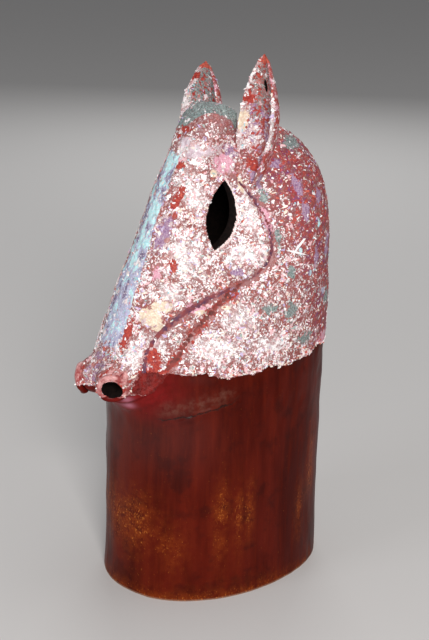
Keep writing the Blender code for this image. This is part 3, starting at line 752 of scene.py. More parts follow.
def plan_finish(points):
    """Every mask of the finish, as a dictionary of numbers from 0 to 1 on the points."""
    x, y, z = points.T
    wide = np.abs(x)
    flank = above(wide, 0.017, 0.008)
    front = (1 - flank) * (y < -0.025)
    on_flank = daubs_on(flank, y, z, FLANK_DAUBS)
    on_face = daubs_on(front, x, z, FACE_DAUBS)
    beside_strip = daubs_on(y < -0.05, x, z, BESIDE_STRIP_DAUBS)
    plan = {"crust": np.clip(0.5 + crust_height(points) / 0.006, 0, 1),
            "back": ease((y - 0.30 * (0.34 - z)) / 0.050),
            "cream": on_flank["cream"], "lip": on_flank["lip"], "tip": np.zeros(len(points))}
    plan.update(daubs_on(y < -0.015, x, z, BROW_DAUBS))
    plan.update(daubs_on(1.0, y, z, NECK_DAUBS))

    # the pressed lines, the nostrils' coils and the strip down the face
    mouth, jaw, jaw_band = line_masks(points)
    before_cheek = below(y, -0.012, 0.02)
    jaw_band *= before_cheek
    # groove: the pressed lines, where the mica is thinner and a painted shade tone goes
    plan["groove"] = np.maximum(mouth, jaw)
    # mouth and jaw: narrow dark bands in the creases, red paint darkened with painted shadow
    plan["mouth"] = np.maximum(mouth ** 4, jaw ** 4 * above(y, -0.024, 0.016))
    plan["jaw"] = jaw ** 1.6 * before_cheek
    plan["coil"], coil_feet = coil_masks(points)
    right_edge = np.interp(z, (0.30, 0.43), (0.0150, 0.0060))
    strip = (y < -0.03) * ease((right_edge - x) / 0.004 + 0.5) * ease((x + 0.0155) / 0.004 + 0.5)
    plan["teal"] = np.maximum(strip * above(z, 0.246, 0.03) * below(z, 0.446, 0.02),
                              0.75 * on_flank["teal"])
    plan["lilac"] = np.maximum.reduce([on_flank["lilac"], 0.8 * on_face["lilac"],
                                       beside_strip["lilac"], 0.46 * strip * below(z, 0.280, 0.03)])
    plan["pink"] = np.maximum(on_flank["pink"], 0.8 * on_face["pink"])
    plan["brick"] = np.maximum.reduce([0.70 * jaw_band, 0.85 * coil_feet, on_flank["brick"],
                                       beside_strip["brick"], on_face["brick"]])
    plan["white_and_highlight"] = np.maximum(on_flank["white_and_highlight"], on_face["white_and_highlight"])

    # the poll, the eye's rim, the throat and the foot
    # The poll's top faces up: grey there is painted shade, the grey-green crest band painted sky
    # reflection
    poll = (z > 0.440) & (wide < 0.036) & (y < 0.02)
    top_of_poll = poll * above(z, 0.450, 0.006)
    plan["poll_top_shade"] = top_of_poll * above(x, 0.002, 0.012)
    past_edge = np.maximum(z - 0.400 + 1.49 * y - 1.90 * x, 0.0)
    plan["sage_and_poll_reflection"] = np.maximum(poll * ease(past_edge / 0.012 + 0.2) * above(z, 0.455, 0.006),
                              0.85 * on_flank["sage_and_poll_reflection"])
    outside_eye, behind_eye = past_eye(points)
    plan["rim"] = flank * np.where(behind_eye, 1.0, 0.3) * swell(outside_eye, 0.0010, 0.0013)
    plan["throat"] = swell(y, -0.118, 0.028) * above(z, 0.180, 0.045) * (z < 0.25)
    plan["glint"] = (z < 0.25) * plan["glint"]
    plan["amber"] = np.maximum(plan["amber"], 0.95 * swell(z, 0.0, 0.010))

    # how much mica covers it all
    cover = 0.62 + 0.38 * plan["white_and_highlight"] - 0.49 * plan["back"] - 0.34 * top_of_poll
    for hidden in (0.70 * plan["groove"], 0.90 * plan["coil"], 0.80 * jaw_band,
                   0.30 * below(y, -0.128, 0.010), above(plan["lip"], 0.3, 0.4)):
        cover = cover * (1 - hidden)
    for side, ear in ((1, LEFT_EAR), (-1, RIGHT_EAR)):
        cover = finish_ear(points, plan, cover, side, ear)
    plan["mica"] = np.clip(cover, 0, 1) * (plan["crust"] > 0.5)
    plan["bare"] = np.maximum.reduce([plan[name] for name in BARE_OF_MICA])
    return plan


plan = plan_finish(spots)
for name, values in plan.items():
    layer = shaped.attributes.new(name, "FLOAT", "POINT")
    layer.data.foreach_set("value", values.astype(np.float32))
print("masks:", ", ".join(f"{name} {values.mean():.2f}" for name, values in plan.items()))

# %% Faces of the openings
def in_opening(centres):
    """Faces well under the outside form, in an eye, in the ear's slit or in a nostril's bore."""
    in_eye = (past_eye(centres)[0] < 0.0002) & (np.abs(centres[:, 0]) > 0.02)
    bare = (head_form(centres) < -0.0016) | in_eye
    off = centres - SLIT_CENTRE
    lean = LEFT_EAR[2]
    flat = np.stack([off[:, 0] * math.cos(lean) + off[:, 1] * math.sin(lean), off[:, 2]], -1)
    past_slit, _ = past_almond(flat, 0.0, SLIT_LENGTH, SLIT_WIDTH)
    bare |= (past_slit < 0.0001) & (np.abs(off[:, 1]) < 0.012)
    for side in (1, -1):
        along, from_axis = about_nostril(centres, side)
        in_reach = (along > BORE_REACH[0]) & (along < BORE_REACH[1])
        bare |= in_reach & (from_axis < np.interp(along, BORE_REACH, BORE_RADII) * 1.01)
    return bare


bare_polygons = in_opening(read(shaped.polygons, "center", np.float32).astype(float) - NECK_AXIS)
bare_faces = bare_polygons[read(shaped.loop_triangles, "polygon_index", np.int32, 1)[:, 0]]
print("triangles of bare clay:", int(bare_faces.sum()), "of", len(bare_faces))

# %% [markdown]
# ## Nodes by the handful
# Small helpers keep the materials short: one adds a node and wires or fills its inputs, the
# others wrap the sums that come up again and again. All of them work on the node tree that is
# open at the time, which is always called `tree`. An effect used more than once is a shader node
# group with named sockets: shards of mica, hairline cracks, the torn edge of a daub, and brush
# streaks.

# %% Node helpers
def add(kind, inputs=(), **settings):
    """Adds a node. Each input is a socket to link from or a plain value, by name or number."""
    made = tree.nodes.new(kind)
    for name, value in settings.items():
        setattr(made, name, value)
    for name, value in dict(inputs).items():
        if isinstance(value, bpy.types.NodeSocket):
            tree.links.new(value, made.inputs[name])
        else:
            made.inputs[name].default_value = value
    return made


def maths(operation, *values):
    return add("ShaderNodeMath", enumerate(values), operation=operation).outputs[0]


def times(first, second):
    return maths("MULTIPLY", first, second)


def times_plus(first, second, third):
    """first * second + third."""
    return maths("MULTIPLY_ADD", first, second, third)


def minus(first, second):
    return maths("SUBTRACT", first, second)


def vectors(operation, first, second):
    return add("ShaderNodeVectorMath", {0: first, 1: second}, operation=operation).outputs[0]


def mixed(share, first, second):
    """Colour between first and second; each is a socket or an (r, g, b)."""
    values = {0: share}
    for number, colour in ((6, first), (7, second)):
        values[number] = colour if isinstance(colour, bpy.types.NodeSocket) else (*colour, 1.0)
    return add("ShaderNodeMix", values, data_type="RGBA").outputs[2]


def between(share, first, second):
    """Number between first and second."""
    return add("ShaderNodeMix", {0: share, 2: first, 3: second}, data_type="FLOAT").outputs[0]


def fitted(value, low_end, high_end, low_out=0.0, high_out=1.0):
    """Smooth step of `value` from one range to another."""
    values = {0: value, 1: low_end, 2: high_end, 3: low_out, 4: high_out}
    return add("ShaderNodeMapRange", values, interpolation_type="SMOOTHSTEP").outputs[0]


def noise(position, grain, detail=3.0, roughness=0.6):
    """Cloudy number about 0.5 whose largest lumps are `grain` metres across."""
    scale = maths("DIVIDE", 1.0, grain)
    values = {"Vector": position, "Scale": scale, "Detail": detail, "Roughness": roughness}
    return add("ShaderNodeTexNoise", values).outputs[0]


def new_group(name, inputs, outputs):
    """Empty shader group; inputs are {name: value, or None for a vector}, outputs are names."""
    group = bpy.data.node_groups.new(name, "ShaderNodeTree")
    for label, value in inputs.items():
        kind = "NodeSocketVector" if value is None else "NodeSocketFloat"
        socket = group.interface.new_socket(label, in_out="INPUT", socket_type=kind)
        if value is not None:
            socket.default_value = value
    for label in outputs:
        group.interface.new_socket(label, in_out="OUTPUT", socket_type="NodeSocketFloat")
    return group, group.nodes.new("NodeGroupInput").outputs, group.nodes.new("NodeGroupOutput")


def close_group(sink, **results):
    """Wires each result to the group's output of that name."""
    for name, value in results.items():
        tree.links.new(value, sink.inputs[name])
    print(tree.name, "has", len(tree.nodes), "nodes")


def place_group(group, **inputs):
    """The outputs of the group's node, its inputs wired or filled by name."""
    return add("ShaderNodeGroup", inputs, node_tree=group).outputs


def new_material(name, values):
    """Material with the plain values of its Principled shader, its tree, and that shader's inputs."""
    material = bpy.data.materials.new(name)
    material.use_nodes = True
    inputs = material.node_tree.nodes["Principled BSDF"].inputs
    for label, value in values.items():
        inputs[label].default_value = value
    return material, material.node_tree, inputs


# %% Shards of mica
GREY = (0.5, 0.5, 0.5)                     # the middle of a noise or cell colour

shards, source, sink = new_group(
    "mica_shards", {"Position": None, "Size": 0.0015, "Stretch": 2.0, "Turn": 0.5, "Cover": 0.5,
                    "Gap": 0.1},
    ["Mask", "Shade", "Height"])
tree = shards
size = source["Size"]
turned = add("ShaderNodeVectorRotate", {"Vector": source["Position"], "Angle": source["Turn"]},
             rotation_type="X_AXIS").outputs[0]
drawn_out = add("ShaderNodeCombineXYZ", {
    0: 1.0, 1: 1.0, 2: maths("DIVIDE", 1.0, source["Stretch"])}).outputs[0]
turned = vectors("MULTIPLY", turned, drawn_out)
cloud = add("ShaderNodeTexNoise", {"Vector": source["Position"], "Scale": 420.0,
                                   "Detail": 1.0}).outputs["Color"]
push = add("ShaderNodeVectorMath", {0: vectors("SUBTRACT", cloud, GREY), "Scale": times(size, 0.9)},
           operation="SCALE").outputs[0]
pattern = {"Vector": vectors("ADD", turned, push), "Scale": maths("DIVIDE", 1.0, size)}
cells = add("ShaderNodeTexVoronoi", pattern).outputs
seams = add("ShaderNodeTexVoronoi", pattern, feature="DISTANCE_TO_EDGE").outputs["Distance"]
dice = add("ShaderNodeSeparateColor", {0: cells["Color"]}).outputs
lies_here = maths("LESS_THAN", dice[0], source["Cover"])
mask = times(lies_here, fitted(seams, times(source["Gap"], 0.5), source["Gap"]))
lean = vectors("SUBTRACT", cells["Color"], GREY)
across = vectors("SUBTRACT", turned, cells["Position"])
slope = add("ShaderNodeVectorMath", {0: lean, 1: across}, operation="DOT_PRODUCT").outputs[1]
height = times(mask, times_plus(maths("DIVIDE", slope, size), 0.9, 0.6))
close_group(sink, Mask=mask, Shade=dice[1], Height=height)

# %% Hairline cracks
hairlines, source, sink = new_group(
    "hairline_cracks", {"Position": None, "Grain": 0.003, "Width": 0.06}, ["Mask"])
tree = hairlines
cloud = noise(source["Position"], source["Grain"], 1.5, 0.5)
off_ridge = maths("ABSOLUTE", minus(cloud, 0.5))
close_group(sink, Mask=fitted(off_ridge, source["Width"], times(source["Width"], 0.4)))

# %% Torn edge
torn_edge, source, sink = new_group(
    "torn_edge", {"Position": None, "Amount": 0.5, "Grain": 0.004, "Tear": 1.0}, ["Mask"])
tree = torn_edge
cloud = noise(source["Position"], source["Grain"], 4.0, 0.65)
moved = times_plus(minus(cloud, 0.5), source["Tear"], source["Amount"])
close_group(sink, Mask=fitted(moved, 0.46, 0.54))

# %% Brushed streaks
streaked, source, sink = new_group(
    "brushed_streaks", {"Position": None, "Width": 0.006, "Length": 0.1}, ["Value"])
tree = streaked
squeezed = add("ShaderNodeCombineXYZ", {
    0: 1.0, 1: 1.0, 2: maths("DIVIDE", source["Width"], source["Length"])}).outputs[0]
drawn = vectors("MULTIPLY", source["Position"], squeezed)
close_group(sink, Value=noise(drawn, source["Width"], 4.0, 0.6))

# %% [markdown]
# ## Paint, mica and glaze on the clay
# The whole skin has one material, because the finishes melt into each other on the real piece.
# It starts with brick-red paint and lays the daubs over it, then three sizes of mica shard, worn
# through by hairline cracks. Below the crust's torn edge it turns into the dark glaze, brushed
# upwards, with amber where the glaze broke thin. The openings get a second material: the bare,
# dark clay of the inside, made near black as painted shade for the hollow.

# %% Start of the clay's material
clay_material, tree, shader = new_material("painted_and_glazed_clay", {
    "Specular IOR Level": 0.05, "Coat Roughness": 0.24})
here = add("ShaderNodeTexCoord").outputs["Object"]
across_neck, fore_and_aft, up = add("ShaderNodeSeparateXYZ", {0: here}).outputs


def mask_of(name):
    return add("ShaderNodeAttribute", attribute_name=name).outputs["Fac"]


def torn(amount, grain=0.004, tear=1.0):
    return place_group(torn_edge, Position=here, Amount=amount, Grain=grain, Tear=tear)[0]


def streaks_of(width, length):
    return place_group(streaked, Position=here, Width=width, Length=length)[0]


CLOUD_GRAINS = (0.030, 0.007, 0.0016)

large, middle, fine = (noise(here, grain) for grain in CLOUD_GRAINS)
white_and_highlight, bare = mask_of("white_and_highlight"), mask_of("bare")
print("clouds of noise with lumps of", [grain * 1000 for grain in CLOUD_GRAINS], "mm")

# %% Ground coats of paint
DUSTY, DUSTY_RED = ((0.31, 0.120, 0.115), (0.52, 0.270, 0.262)), (0.56, 0.110, 0.070)
RUDDY, RUDDY_DUST = ((0.25, 0.030, 0.056), (0.56, 0.066, 0.046)), (0.58, 0.32, 0.32)
SPECKS, WHITENED_HIGHLIGHT = ((0.17, 0.07, 0.23), (0.30, 0.25, 0.24)), ((0.60, 0.38, 0.38), (0.86, 0.72, 0.72))
# painted shade colours: grey for the poll's top, grey-mauve for the pressed lines
POLL_TOP_SHADE, CREASE_SHADE = (0.40, 0.26, 0.27), (0.25, 0.120, 0.135)

face_coat = mixed(fitted(middle, 0.36, 0.64), *DUSTY)
face_coat = mixed(fitted(fine, 0.52, 0.66), face_coat, DUSTY_RED)
back_coat = mixed(fitted(middle, 0.38, 0.60), *RUDDY)
back_coat = mixed(fitted(fine, 0.56, 0.64), back_coat, RUDDY_DUST)
specks = place_group(shards, Position=here, Size=0.0026, Stretch=1.8, Turn=1.1, Cover=0.40, Gap=0.05)
back_coat = mixed(times(specks["Mask"], 0.75), back_coat,
                  mixed(fitted(specks["Shade"], 0.35, 0.65), *SPECKS))
paint = mixed(mask_of("back"), face_coat, back_coat)
# painted shade: grey on the poll's upward-facing top
paint = mixed(times(mask_of("poll_top_shade"), fitted(middle, 0.44, 0.54, 0.9, 0.2)), paint, POLL_TOP_SHADE)
# painted shade: a grey-mauve tone down the pressed lines, where the fold lies in shadow
paint = mixed(times(mask_of("groove"), 0.6), paint, CREASE_SHADE)
# under the white daubs the paint is lightened: white paint and painted highlight
paint = mixed(times(white_and_highlight, 0.85), paint, mixed(fitted(fine, 0.3, 0.7), *WHITENED_HIGHLIGHT))
print("nodes under the daubs:", len(tree.nodes))

# %% Paint in daubs
PAINTS = (        # mask, grain and tear of its edge, the cloud that mottles it, its two colours
    # sage: grey-green paint on the flanks and ears, and painted sky reflection on the poll's crest
    ("sage_and_poll_reflection", 0.005, 2.0, fine, (0.12, 0.155, 0.155), (0.34, 0.43, 0.42)),
    ("lilac", 0.006, 2.4, fine, (0.24, 0.13, 0.27), (0.52, 0.38, 0.50)),
    ("pink", 0.006, 3.0, fine, (0.70, 0.30, 0.40), (0.84, 0.52, 0.62)),
    ("pearl", 0.008, 3.0, middle, (0.60, 0.46, 0.52), (0.86, 0.78, 0.84)),
    ("cream", 0.004, 0.9, fine, (0.78, 0.60, 0.44), (0.92, 0.84, 0.68)),
    ("brick", 0.005, 2.2, fine, (0.28, 0.030, 0.034), (0.54, 0.085, 0.055)),
    # mouth and jaw: red paint in the creases, darkened as painted shadow
    ("mouth", 0.004, 1.7, middle, (0.095, 0.050, 0.095), (0.27, 0.060, 0.058)),
    ("jaw", 0.005, 1.7, middle, (0.13, 0.045, 0.042), (0.32, 0.065, 0.055)),
    ("lip", 0.006, 0.9, middle, (0.11, 0.006, 0.005), (0.23, 0.014, 0.011)),
    ("rim", 0.003, 0.9, fine, (0.80, 0.56, 0.54), (0.94, 0.84, 0.82)),
    ("tip", 0.006, 0.9, fine, (0.36, 0.060, 0.050), (0.66, 0.135, 0.085)),
    ("coil", 0.008, 0.9, middle, (0.32, 0.050, 0.050), (0.72, 0.380, 0.370)))
STRIP_VIOLET, STRIP_BLUE = (0.19, 0.15, 0.26), (0.46, 0.48, 0.66)
STRIP_CYAN, STRIP_GLITTER = (0.56, 0.92, 0.95), (0.80, 0.86, 0.92)

for name, grain, tear, cloud, dark, light in PAINTS:
    tone = mixed(fitted(cloud, 0.34, 0.66), dark, light)
    paint = mixed(torn(mask_of(name), grain, tear), paint, tone)
brushed = streaks_of(0.007, 0.045)
strip = mixed(fitted(brushed, 0.38, 0.50), STRIP_VIOLET, STRIP_BLUE)
cyan = times(minus(brushed, fitted(up, 0.360, 0.315, 0.48, 0.58)), 14.0)      # less of it low down
strip = mixed(fitted(cyan, 0.0, 1.0), strip, STRIP_CYAN)
strip = mixed(fitted(fine, 0.50, 0.72), strip, STRIP_GLITTER)
paint = mixed(torn(mask_of("teal"), 0.006, 1.4), paint, strip)
print("paints:", [row[0] for row in PAINTS])

# %% Mica in three sizes
SHARD_SIZES = (                            # size, stretch, turn, share of the cover, gap
    (0.0038, 1.5, 0.6, 0.97, 0.09), (0.0022, 2.3, -0.7, 0.42, 0.10), (0.0013, 1.8, 1.6, 0.34, 0.12))
MICA_ROSE, MICA_BLUSH, MICA_WHITE = (0.58, 0.36, 0.38), (0.84, 0.70, 0.72), (0.95, 0.91, 0.92)
CRACK_SIZES, CRACK_RED = ((0.0042, 0.055), (0.0024, 0.060)), (0.27, 0.085, 0.080)

cover = times(mask_of("mica"), between(white_and_highlight, fitted(middle, 0.38, 0.60, 0.30, 1.25), 1.0))
cover = times(cover, fitted(torn(bare, 0.005, 2.0), 0.0, 1.0, 1.0, 0.16))
masks, heights = [], []
for size, stretch, turn, share, gap in SHARD_SIZES:
    layer = place_group(shards, Position=here, Size=size, Stretch=stretch, Turn=turn,
                        Cover=times(cover, share), Gap=gap)
    pale = mixed(fitted(layer["Shade"], 0.0, 0.35), MICA_ROSE, MICA_BLUSH)
    pale = mixed(fitted(layer["Shade"], 0.35, 0.65), pale, MICA_WHITE)
    paint = mixed(layer["Mask"], paint, pale)
    masks.append(layer["Mask"])
    heights.append(times(layer["Height"], size / 0.0023))
mica_mask = maths("MAXIMUM", maths("MAXIMUM", *masks[:2]), masks[2])
mica_relief = maths("ADD", maths("ADD", *heights[:2]), heights[2])
worn = times(fitted(white_and_highlight, 0.0, 0.8, 0.85, 0.30), fitted(bare, 0.3, 0.6, 1.0, 0.2))
for grain, width in CRACK_SIZES:
    lines = times(place_group(hairlines, Position=here, Grain=grain, Width=width)[0], worn)
    paint = mixed(lines, paint, CRACK_RED)
    mica_mask = times(mica_mask, minus(1.0, lines))
print("sizes of shard:", [row[0] for row in SHARD_SIZES])

# %% Glaze on the neck
GLAZE, GLAZE_STREAK = ((0.050, 0.0030, 0.0010), (0.098, 0.0062, 0.0014)), (0.150, 0.0130, 0.0025)
GLAZE_POOL, AMBER_HAZE = (0.030, 0.0022, 0.0012), (0.230, 0.0380, 0.0045)
AMBER_FLECKS, FOOT_LINE = ((0.30, 0.060, 0.007), (0.60, 0.20, 0.038)), (0.30, 0.20, 0.14)
THROAT_RED, GLINT_PINK = (0.215, 0.0085, 0.0095), (0.500, 0.190, 0.260)

broad, narrow, hair = streaks_of(0.030, 0.16), streaks_of(0.005, 0.07), streaks_of(0.0016, 0.0026)
glaze = mixed(fitted(broad, 0.34, 0.66), *GLAZE)
glaze = mixed(times(fitted(narrow, 0.44, 0.70), 0.22), glaze, GLAZE_STREAK)
glaze = mixed(fitted(large, 0.50, 0.66, 0.0, 0.55), glaze, GLAZE_POOL)
amber = times(mask_of("amber"), fitted(large, 0.30, 0.55, 0.25, 1.0))
glaze = mixed(times(amber, fitted(middle, 0.32, 0.62, 0.12, 0.68)), glaze, AMBER_HAZE)
broke = fitted(times_plus(amber, 0.17, hair), 0.66, 0.84)
glaze = mixed(times(broke, 0.80), glaze, mixed(fitted(fine, 0.40, 0.68), *AMBER_FLECKS))
glaze = mixed(times(fitted(up, 0.0022, 0.0006), 0.6), glaze, FOOT_LINE)
throat = times(mask_of("throat"), fitted(middle, 0.2, 0.7, 0.5, 1.0))
glaze = mixed(throat, glaze, THROAT_RED)
# painted highlight: a pale pink glint below the nostril
glaze = mixed(times(mask_of("glint"), 0.7), glaze, GLINT_PINK)
print("nodes with the glaze:", len(tree.nodes))

# %% Seam under the jaw
SEAM_SLOPE, SEAM_HEIGHT, SEAM_WANDER = 0.278, 0.2175, 0.008
SMEAR_UP, SMEAR_COLOUR, SEAM_COLOUR = 0.0085, (0.120, 0.040, 0.027), (0.022, 0.009, 0.007)

off_seam = minus(minus(up, times_plus(fore_and_aft, SEAM_SLOPE, SEAM_HEIGHT)),
                 times_plus(middle, SEAM_WANDER, -SEAM_WANDER / 2))
in_span = times(fitted(fore_and_aft, -0.090, -0.078), fitted(fore_and_aft, -0.016, -0.034))
in_span = times(in_span, fitted(across_neck, 0.02, 0.04))
crack = times(in_span, fitted(maths("ABSOLUTE", off_seam), 0.0010, 0.0002))
crack = times(crack, fitted(fine, 0.40, 0.52, 0.3, 1.0))
smear = times(in_span, fitted(maths("ABSOLUTE", minus(off_seam, SMEAR_UP)), 0.0115, 0.0010))
smear = times(smear, fitted(middle, 0.36, 0.66, 0.10, 0.85))
smear = times(smear, fitted(fine, 0.34, 0.62, 0.55, 1.0))
glaze = mixed(smear, glaze, SMEAR_COLOUR)
glaze = mixed(crack, glaze, SEAM_COLOUR)
print("the seam climbs", SEAM_SLOPE, "mm for each mm backwards")

# %% Put the finishes together
RELIEF = 0.00045                           # metres of bump for a height of 1

on_crust = torn(mask_of("crust"), 0.003, 0.35)
tree.links.new(mixed(on_crust, glaze, paint), shader["Base Color"])
rough = between(on_crust, fitted(narrow, 0.3, 0.7, 0.34, 0.50), between(mica_mask, 0.55, 0.26))
tree.links.new(between(smear, rough, 0.52), shader["Roughness"])
shiny = mica_mask
for name, share in (("coil", 0.8), ("teal", 0.6), ("lip", 0.25)):
    shiny = maths("MAXIMUM", shiny, times(mask_of(name), share))
wet = times_plus(mask_of("sheen"), 0.40, fitted(broad, 0.3, 0.7, 0.02, 0.10))
tree.links.new(between(on_crust, wet, between(shiny, 0.10, 0.75)), shader["Coat Weight"])
relief = times_plus(middle, 1.0, times_plus(fine, 0.4, mica_relief))
relief = times(relief, times(on_crust, fitted(mask_of("lip"), 0.3, 0.7, 1.0, 0.25)))
relief = minus(times_plus(hair, 0.08, relief), times(crack, 1.3))
bump = add("ShaderNodeBump", {"Height": relief, "Distance": RELIEF, "Strength": 1.0})
tree.links.new(bump.outputs[0], shader["Normal"])
print("the clay's material has", len(tree.nodes), "nodes")

# %% Bare clay in the openings, darkened as painted shade
# Near black: the clay's own dark brown, darkened further as painted shade inside the hollow
SHADE_CLAY_DARK, SHADE_CLAY_LIGHT = (0.0035, 0.0017, 0.0014), (0.0100, 0.0045, 0.0035)

clay_in_painted_shade, tree, shader = new_material("dark_clay_and_painted_shade", {
    "Specular IOR Level": 0.15, "Roughness": 0.90})
grog = noise(add("ShaderNodeTexCoord").outputs["Object"], 0.004, 4.0)
tree.links.new(mixed(fitted(grog, 0.35, 0.65), SHADE_CLAY_DARK, SHADE_CLAY_LIGHT), shader["Base Color"])
bump = add("ShaderNodeBump", {"Height": grog, "Distance": 0.0005, "Strength": 1.0})
tree.links.new(bump.outputs[0], shader["Normal"])
shaped.materials.clear()
for material in (clay_material, clay_in_painted_shade):
    shaped.materials.append(material)
shaped.polygons.foreach_set("material_index", bare_polygons.astype(np.int32))
print("materials on the clay:", [material.name for material in shaped.materials])

# %% [markdown]
# ## Flakes that stand off the surface
# Mica is a mineral that splits into thin plates. The plates on the real head catch the light
# one by one, because each lies at its own tilt. So thousands of them are modelled: each is a
# thin closed plate with a torn outline, laid on a spot of the crust picked at random.

# %% Spots for the plates
corner_points = spots[triangles]
middles = corner_points.mean(1)
triangle_normal = np.cross(corner_points[:, 1] - corner_points[:, 0],
                           corner_points[:, 2] - corner_points[:, 0])
triangle_area = np.linalg.norm(triangle_normal, axis=1) / 2


def on_triangles(name):
    return plan[name][triangles].mean(1)


def pick_spots(count, weight, random):
    """Random places on the clay: triangle i is picked in proportion to area * weight."""
    chance = np.cumsum(triangle_area * weight)
    chosen = np.searchsorted(chance, random.uniform(0, chance[-1], count))
    a, b = random.uniform(size=(2, count))
    flip = a + b > 1
    a, b = np.where(flip, 1 - a, a), np.where(flip, 1 - b, b)
    corners = corner_points[chosen]
    side_a, side_b = corners[:, 1] - corners[:, 0], corners[:, 2] - corners[:, 0]
    place = corners[:, 0] + side_a * a[:, None] + side_b * b[:, None]
    return chosen, place, unit(triangle_normal[chosen])


def tilted_axes(normal, tilt, random, along=None):
    """Unit normals leaning by about `tilt` radians, and two unit vectors across each."""
    normal = unit(normal + random.normal(scale=tilt, size=normal.shape))
    first = random.normal(size=normal.shape) if along is None else np.array(along, float)
    first = unit(first - normal * (first * normal).sum(1)[:, None])
    return normal, first, np.cross(normal, first)


print("clay to lay plates on:", round(float(triangle_area.sum()) * 1e4), "square centimetres")

# %% Colours of the plates
WHITE, CREAM, ROSE, LILAC, SAGE, CORAL, TEAL = range(7)
MICAS = (         # name, colour, roughness, in the order of the numbers above
    ("mica_white", (0.96, 0.92, 0.93), 0.22),
    ("mica_cream", (0.90, 0.78, 0.66), 0.26),
    ("mica_rose", (0.84, 0.52, 0.55), 0.28),
    ("mica_lilac", (0.58, 0.46, 0.70), 0.30),
    ("mica_sage", (0.40, 0.48, 0.45), 0.32),
    ("mica_coral", (0.60, 0.12, 0.08), 0.35),
    ("mica_teal", (0.42, 0.70, 0.76), 0.30))

plate_colours = [
    new_material(name, {"Base Color": (*colour, 1.0), "Roughness": roughness, "Coat Weight": 0.8,
                        "Coat Roughness": 0.12})[0]
    for name, colour, roughness in MICAS]


def plate_kinds(chosen, random):
    """Number of a colour for each plate, thrown with shares that follow the paint below it."""
    white_and_highlight, pink, lilac, sage_and_poll_reflection, teal = (plan[name][triangles[chosen]].mean(1)
                                      for name in ("white_and_highlight", "pink", "lilac", "sage_and_poll_reflection", "teal"))
    # more white plates under the white daubs, which are partly painted highlight
    share = np.stack([0.40 + 0.9 * white_and_highlight, np.full(len(chosen), 0.10), 0.26 + 0.4 * pink,
                      0.06 + 0.6 * lilac, 0.04 + 0.7 * sage_and_poll_reflection, 0.08 * (1 - white_and_highlight),
                      0.02 + 0.8 * teal], 1)
    steps = np.cumsum(share, axis=1) / share.sum(1)[:, None]
    return np.minimum((random.uniform(size=(len(chosen), 1)) > steps).sum(1), TEAL)


print("colours of plate:", [material.name for material in plate_colours])

# %% Thin closed plates
def plates(name, place, axes, reach, stretch, thickness, corners, kinds, random):
    """Prisms with corner k near turn 2 pi k / n, `reach` metres out, drawn out `stretch` times."""
    normal, first, second = axes
    count = len(place)
    turn = (np.arange(corners) + random.uniform(-0.3, 0.3, (count, corners))) * 2 * math.pi / corners
    radius = reach[:, None] * random.uniform(0.62, 1.12, (count, corners))
    flat = (first[:, None] * (radius * np.cos(turn) * stretch[:, None])[..., None]
            + second[:, None] * (radius * np.sin(turn))[..., None])
    top = place[:, None] + flat + normal[:, None] * thickness[:, None, None]
    points = np.stack([place[:, None] + flat, top], 1).reshape(-1, 3) + NECK_AXIS
    number = np.arange(count * 2 * corners).reshape(count, 2, corners)
    after = np.roll(number, -1, axis=2)
    sides = np.stack([number[:, 0], after[:, 0], after[:, 1], number[:, 1]], -1).reshape(-1, 4)
    made = new_object(name, points, [number[:, 1], number[:, 0, ::-1], sides])
    made.data.polygons.foreach_set("material_index", np.concatenate(
        [kinds, kinds, np.repeat(kinds, corners)]).astype(np.int32))
    made.data.shade_flat()
    for material in plate_colours:
        made.data.materials.append(material)
    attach(made, "root")
    print(name, count, "plates,", count * (4 * corners - 4), "triangles")


# %% Lay the flakes
FLAKE_SETS, FLAKES_IN_SET = 3, 4200

shown = (~bare_faces) * (on_triangles("crust") > 0.55)
clumping = ease(0.5 + 0.9 * ripples(middles, 0.011, 21) + 0.6 * ripples(middles, 0.005, 22))
mica_weight = shown * (1 - 0.9 * (on_triangles("bare") > 0.45)) * clumping * on_triangles("mica") ** 1.5
off_lip_and_eye = (past_eye(middles)[0] > 0.0018) * (on_triangles("lip") < 0.5)
mica_weight = (mica_weight + 0.01 * shown) * off_lip_and_eye
for number in range(FLAKE_SETS):
    random = np.random.default_rng(100 + number)
    chosen, place, normal = pick_spots(FLAKES_IN_SET, mica_weight, random)
    reach = random.uniform(0.00050, 0.00110, FLAKES_IN_SET)
    reach = reach * (1 + 0.8 * (random.uniform(size=FLAKES_IN_SET) > 0.92))
    plates(f"mica_flakes_{number + 1}", place + normal * 0.00004, tilted_axes(normal, 0.16, random),
           reach, random.uniform(1.2, 2.8, FLAKES_IN_SET),
           random.uniform(0.00012, 0.00024, FLAKES_IN_SET), 5, plate_kinds(chosen, random), random)

# %% Slivers
CROSSED_PAIR = [[0.083, 0.0290, 0.3530], [0.083, 0.0250, 0.3490]]      # their middles, behind the jaw
PAIR_RUNS = [[0.0, 0.75, 0.66], [0.0, 0.94, -0.34]]


def strew(name, count, weight, lift, tilt, reach, stretch, thickness, colours, random):
    """Hexagons at random spots; reach, stretch and thickness are each drawn from a range."""
    _, place, normal = pick_spots(count, weight, random)
    plates(name, place + normal * lift, tilted_axes(normal, tilt, random),
           random.uniform(*reach, count), random.uniform(*stretch, count),
           random.uniform(*thickness, count), 6, random.choice(colours, count), random)


random = np.random.default_rng(200)
strew("mica_slivers", 260, mica_weight * (on_triangles("teal") < 0.3), 0.00020, 0.08,
      (0.00045, 0.00080), (3.0, 6.0), (0.00020, 0.00030),
      [WHITE, WHITE, WHITE, CREAM, ROSE, LILAC], random)
chosen = [np.argmin(np.linalg.norm(middles - aim, axis=1)) for aim in np.array(CROSSED_PAIR)]
normal = unit(triangle_normal[chosen])
axes = tilted_axes(normal, 0.0, random, PAIR_RUNS)
plates("long_slivers", middles[chosen] + normal * 0.0008, axes, np.array([0.0017, 0.0013]),
       np.array([6.5, 9.0]), np.full(2, 0.0004), 6, np.full(2, WHITE), random)

